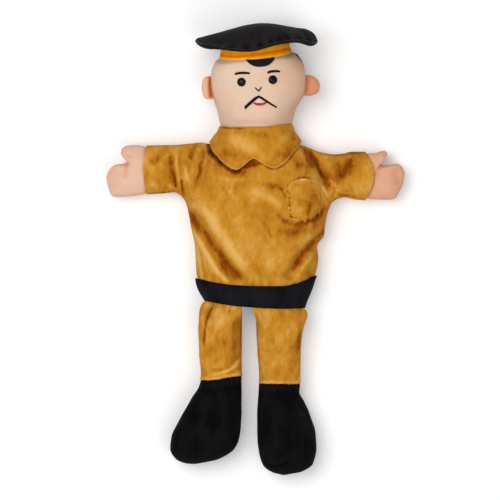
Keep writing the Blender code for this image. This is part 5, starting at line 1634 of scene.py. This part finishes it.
class PUPPET_OT_legs(bpy.types.Operator):
    """Stuff the two legs."""

    bl_idname = "puppet.legs"
    bl_label = "Legs"

    def execute(self, context):
        look = context.scene.puppet_look
        legs = (
            ("left_leg", LEG_LEFT, HEM_LEFT_Y - 0.0026, -0.1404, -0.0700,
             strokes((0.0018, -0.0015, -39, -66, -44, -80, -48, -100, -48, -112),
                     (0.0022, 0.0012, -35, -66, -40, -80, -44, -98),
                     (0.0020, 0.0009, -45, -66, -49, -80, -51, -96),
                     (0.0018, -0.0010, -30, -66, -34, -78),
                     (0.0018, -0.0010, -23, -66, -25, -77),
                     (0.0020, -0.0012, -26.6, -131, -21, -127, -15.9, -121),
                     (0.0048, -0.0014, -18, -84, -17, -100, -17.5, -116),
                     (0.0030, 0.0007, -44, -128, -34, -126, -26, -122))),
            ("right_leg", LEG_RIGHT, HEM_RIGHT_Y - 0.0022, -0.1441, -0.0731,
             strokes((0.0020, -0.0013, -4.3, -76, -1, -81, 2, -88),
                     (0.0040, 0.0007, 8, -74, 10, -86, 9, -104),
                     (0.0050, -0.0009, 30, -74, 33, -90, 32, -118),
                     (0.0036, 0.0008, 41, -78, 38, -96, 38, -122),
                     (0.0050, 0.0006, 18, -96, 22, -112, 19, -128))))
        angle = angle_row(120)
        v = share_column(91)
        # Tables of nap patches with painted highlights and shade for each leg.
        naps = (LEFT_LEG_NAP_AND_PAINTED_LIGHT, RIGHT_LEG_NAP_AND_PAINTED_LIGHT)
        for (name, edges, top, foot, belt_end, creases), nap in zip(legs, naps):
            points = leg_points(angle, v + 0 * angle, edges, top, foot, belt_end)
            front = facing(angle) + 0 * v
            fold = folded(points[..., 0], points[..., 1], creases)
            near_top = hump(points[..., 1] - belt_end + 0.002, 0.008)
            gathers = 0.0005 * ripples(angle, 17.0, 1.5, 3.0) * near_top
            hem = 0.0006 * hump(points[..., 1] - foot - 0.0016, 0.0013)
            jag = 0.0002 * ripples(angle, 19.0, 2.0, 7.0) * hump(points[..., 1] - foot, 0.002)
            points[..., 2] += fold * front + gathers * front
            outward = points - points.mean(axis=1, keepdims=True)
            outward[..., 1] = 0.0
            points += unit(outward) * hem[..., None]
            points[..., 1] += jag
            points[..., 1] += hem_shift(points[..., 0]) * ease((v - 0.55) / 0.45)
            # Painted shade in creases, painted highlights on ridges and along the hem, and the
            # painted strokes in front.
            tone = 0.25 * (fold * front + gathers) / 0.0022 + hem / 0.0009
            tone = tone + folded(points[..., 0], points[..., 1], nap) * front
            leg = add_piece("stuffed_" + name, capped(points), velveteen(name + "_velveteen", look),
                            loop=True, size=(0.12, 0.08), fold=np.pad(tone, END_ROWS))
            press(leg, 0.0005, 0.013, 8)
            hand_over(leg, name)
        return {"FINISHED"}


class PUPPET_OT_boots(bpy.types.Operator):
    """Stuff the two boots."""

    bl_idname = "puppet.boots"
    bl_label = "Boots"

    def execute(self, context):
        look = context.scene.puppet_look
        boots = (
            ("left_boot", BOOT_LEFT,
             strokes((0.0050, -0.0009, -58, -170, -45, -178, -30, -178),
                     (0.0060, 0.0008, -64, -196, -54, -186, -46, -172))),
            ("right_boot", BOOT_RIGHT,
             strokes((0.0016, -0.0016, 9, -216, 16, -218.5, 24, -217, 30, -213.5),
                     (0.0026, 0.0010, 10, -213.5, 18, -215.5, 28, -211.5),
                     (0.0026, 0.0008, 18, -204, 19, -192, 16, -178),
                     (0.0026, 0.0009, 41, -166, 47, -180, 51, -194),
                     (0.0034, -0.0009, 38, -152, 30, -156, 18, -153))))
        angle = angle_row(128)
        t = np.linspace(0.004, 1, 97)[:, None]
        for name, edges, creases in boots:
            toe, cuff = edges[0][0][0], edges[0][-1][0]
            y = mix(mix(toe, cuff, 1.0 - np.cos(0.5 * math.pi * t)), mix(toe, cuff, t), 0.5 * t)
            left, right = curve(edges[0], y), curve(edges[1], y)
            down = (y - toe) / (cuff - toe)
            swell = np.sin(np.arccos(np.maximum(-1.0, 1.0 - np.minimum(1.0, down / 0.30))))
            seat = mix(BOOT_HEIGHT, ANKLE_HEIGHT, ease(down))
            rise = curve(((0.0, BOOT_RISE), (0.35, BOOT_RISE), (0.75, 0.0165), (1.0, 0.0150)), down)
            drop = curve(((0.0, BOOT_HEIGHT), (0.5, 1.02 * BOOT_HEIGHT), (1.0, 0.0135)), down)
            section = Section(left, right, seat, rise * swell, drop * swell)
            points = ring_points(section, angle + 0 * y, y + 0 * angle, (2.2, 2.4))
            front = facing(angle)
            fold = folded(points[..., 0], points[..., 1], creases) * front
            pucker = 0.0004 * ripples(angle, 21.0, 2.0, 5.0) * hump(y - cuff, 0.007)
            ring = 0.0006 * hump(y - cuff + 0.0045, 0.0022) - 0.0005 * hump(y - cuff + 0.010, 0.003)
            points[..., 2] += fold + (pucker + ring) * front
            points[..., 1] += hem_shift(points[..., 0]) * ease((down - 0.6) / 0.4)
            finish = black_cloth(name + "_black", shade(look.black, 0.6), (0.010, 0.009, 0.010),
                                 0.02, 80.0)
            # Painted light and shade on the creases, the puckers and the ring at the cuff.
            boot = add_piece("stuffed_" + name, capped(points), finish, loop=True,
                             size=(0.15, 0.10),
                             fold=np.pad((fold + pucker + ring) / 0.0014, END_ROWS))
            press(boot, 0.0006, 0.014, 11)
            hand_over(boot, name)
        return {"FINISHED"}


# Stage

class PUPPET_OT_stage(bpy.types.Operator):
    """Set up the floor, the light and the camera over the puppet."""

    bl_idname = "puppet.stage"
    bl_label = "Stage"

    def execute(self, context):
        stage = context.scene.puppet_stage
        scene = context.scene
        scene.view_settings.view_transform = "Standard"
        mesh = bmesh.new()
        bmesh.ops.create_grid(mesh, x_segments=4, y_segments=4, size=FLOOR_HALF)
        data = bpy.data.meshes.new("floor")
        mesh.to_mesh(data)
        mesh.free()
        floor = add_object("floor", data)
        floor.location = (0, 0, -FLOOR_GAP)
        data.materials.append(paper("floor_paper", stage.floor))

        world = bpy.data.worlds.new("Room")
        scene.world = world
        world.use_nodes = True
        tree = world.node_tree
        back = tree.nodes["Background"]
        back.inputs["Color"].default_value = (1.0, 0.99, 0.98, 1.0)
        back.inputs["Strength"].default_value = stage.room

        lamps = (("key", Vector((-0.58, 0.26, 1.75)), 1.3, stage.key_power),
                 ("fill", Vector((0.50, -0.65, 1.6)), 1.2, stage.fill_power))
        for name, place, size, watts in lamps:
            lamp = bpy.data.lights.new(name, "AREA")
            lamp.shape = "DISK"
            lamp.size = size
            lamp.energy = watts
            item = add_object(name, lamp)
            item.location = place
            item.rotation_euler = (-place).to_track_quat("-Z", "Y").to_euler()

        lens = bpy.data.cameras.new("camera")
        lens.sensor_width = SENSOR
        lens.lens = SENSOR * (stage.distance - SUBJECT_HEIGHT) / stage.field
        lens.clip_start = 0.05
        lens.clip_end = 50.0
        scene.camera = add_object("camera", lens)
        scene.camera.location = (*PICTURE_MIDDLE, stage.distance)
        return {"FINISHED"}


class PUPPET_PT_panel(bpy.types.Panel):
    """Buttons that make the puppet's pieces."""

    bl_label = "Puppet"
    bl_idname = "PUPPET_PT_panel"
    bl_space_type = "VIEW_3D"
    bl_region_type = "UI"
    bl_category = "Puppet"

    def draw(self, context):
        layout = self.layout
        for maker in MAKERS:
            layout.operator(maker.bl_idname)
        for settings in (context.scene.puppet_look, context.scene.puppet_stage):
            for name in settings.__annotations__:
                layout.prop(settings, name)


MAKERS = (PUPPET_OT_tunic, PUPPET_OT_belt, PUPPET_OT_collar, PUPPET_OT_pocket, PUPPET_OT_head,
          PUPPET_OT_face, PUPPET_OT_cap, PUPPET_OT_hands, PUPPET_OT_legs, PUPPET_OT_boots,
          PUPPET_OT_stage)
CLASSES = (PuppetLook, PuppetStage, *MAKERS, PUPPET_PT_panel)


def register():
    """Add the puppet's settings, operators and panel to Blender."""
    for made in CLASSES:
        bpy.utils.register_class(made)
    bpy.types.Scene.puppet_look = bpy.props.PointerProperty(type=PuppetLook)
    bpy.types.Scene.puppet_stage = bpy.props.PointerProperty(type=PuppetStage)


def unregister():
    """Take the puppet's settings, operators and panel out of Blender again."""
    del bpy.types.Scene.puppet_stage
    del bpy.types.Scene.puppet_look
    for made in reversed(CLASSES):
        bpy.utils.unregister_class(made)


def main():
    """Dress the puppet."""
    register()
    for maker in MAKERS:
        getattr(bpy.ops.puppet, maker.bl_idname.split(".")[1])()


if __name__ == "__main__":
    main()
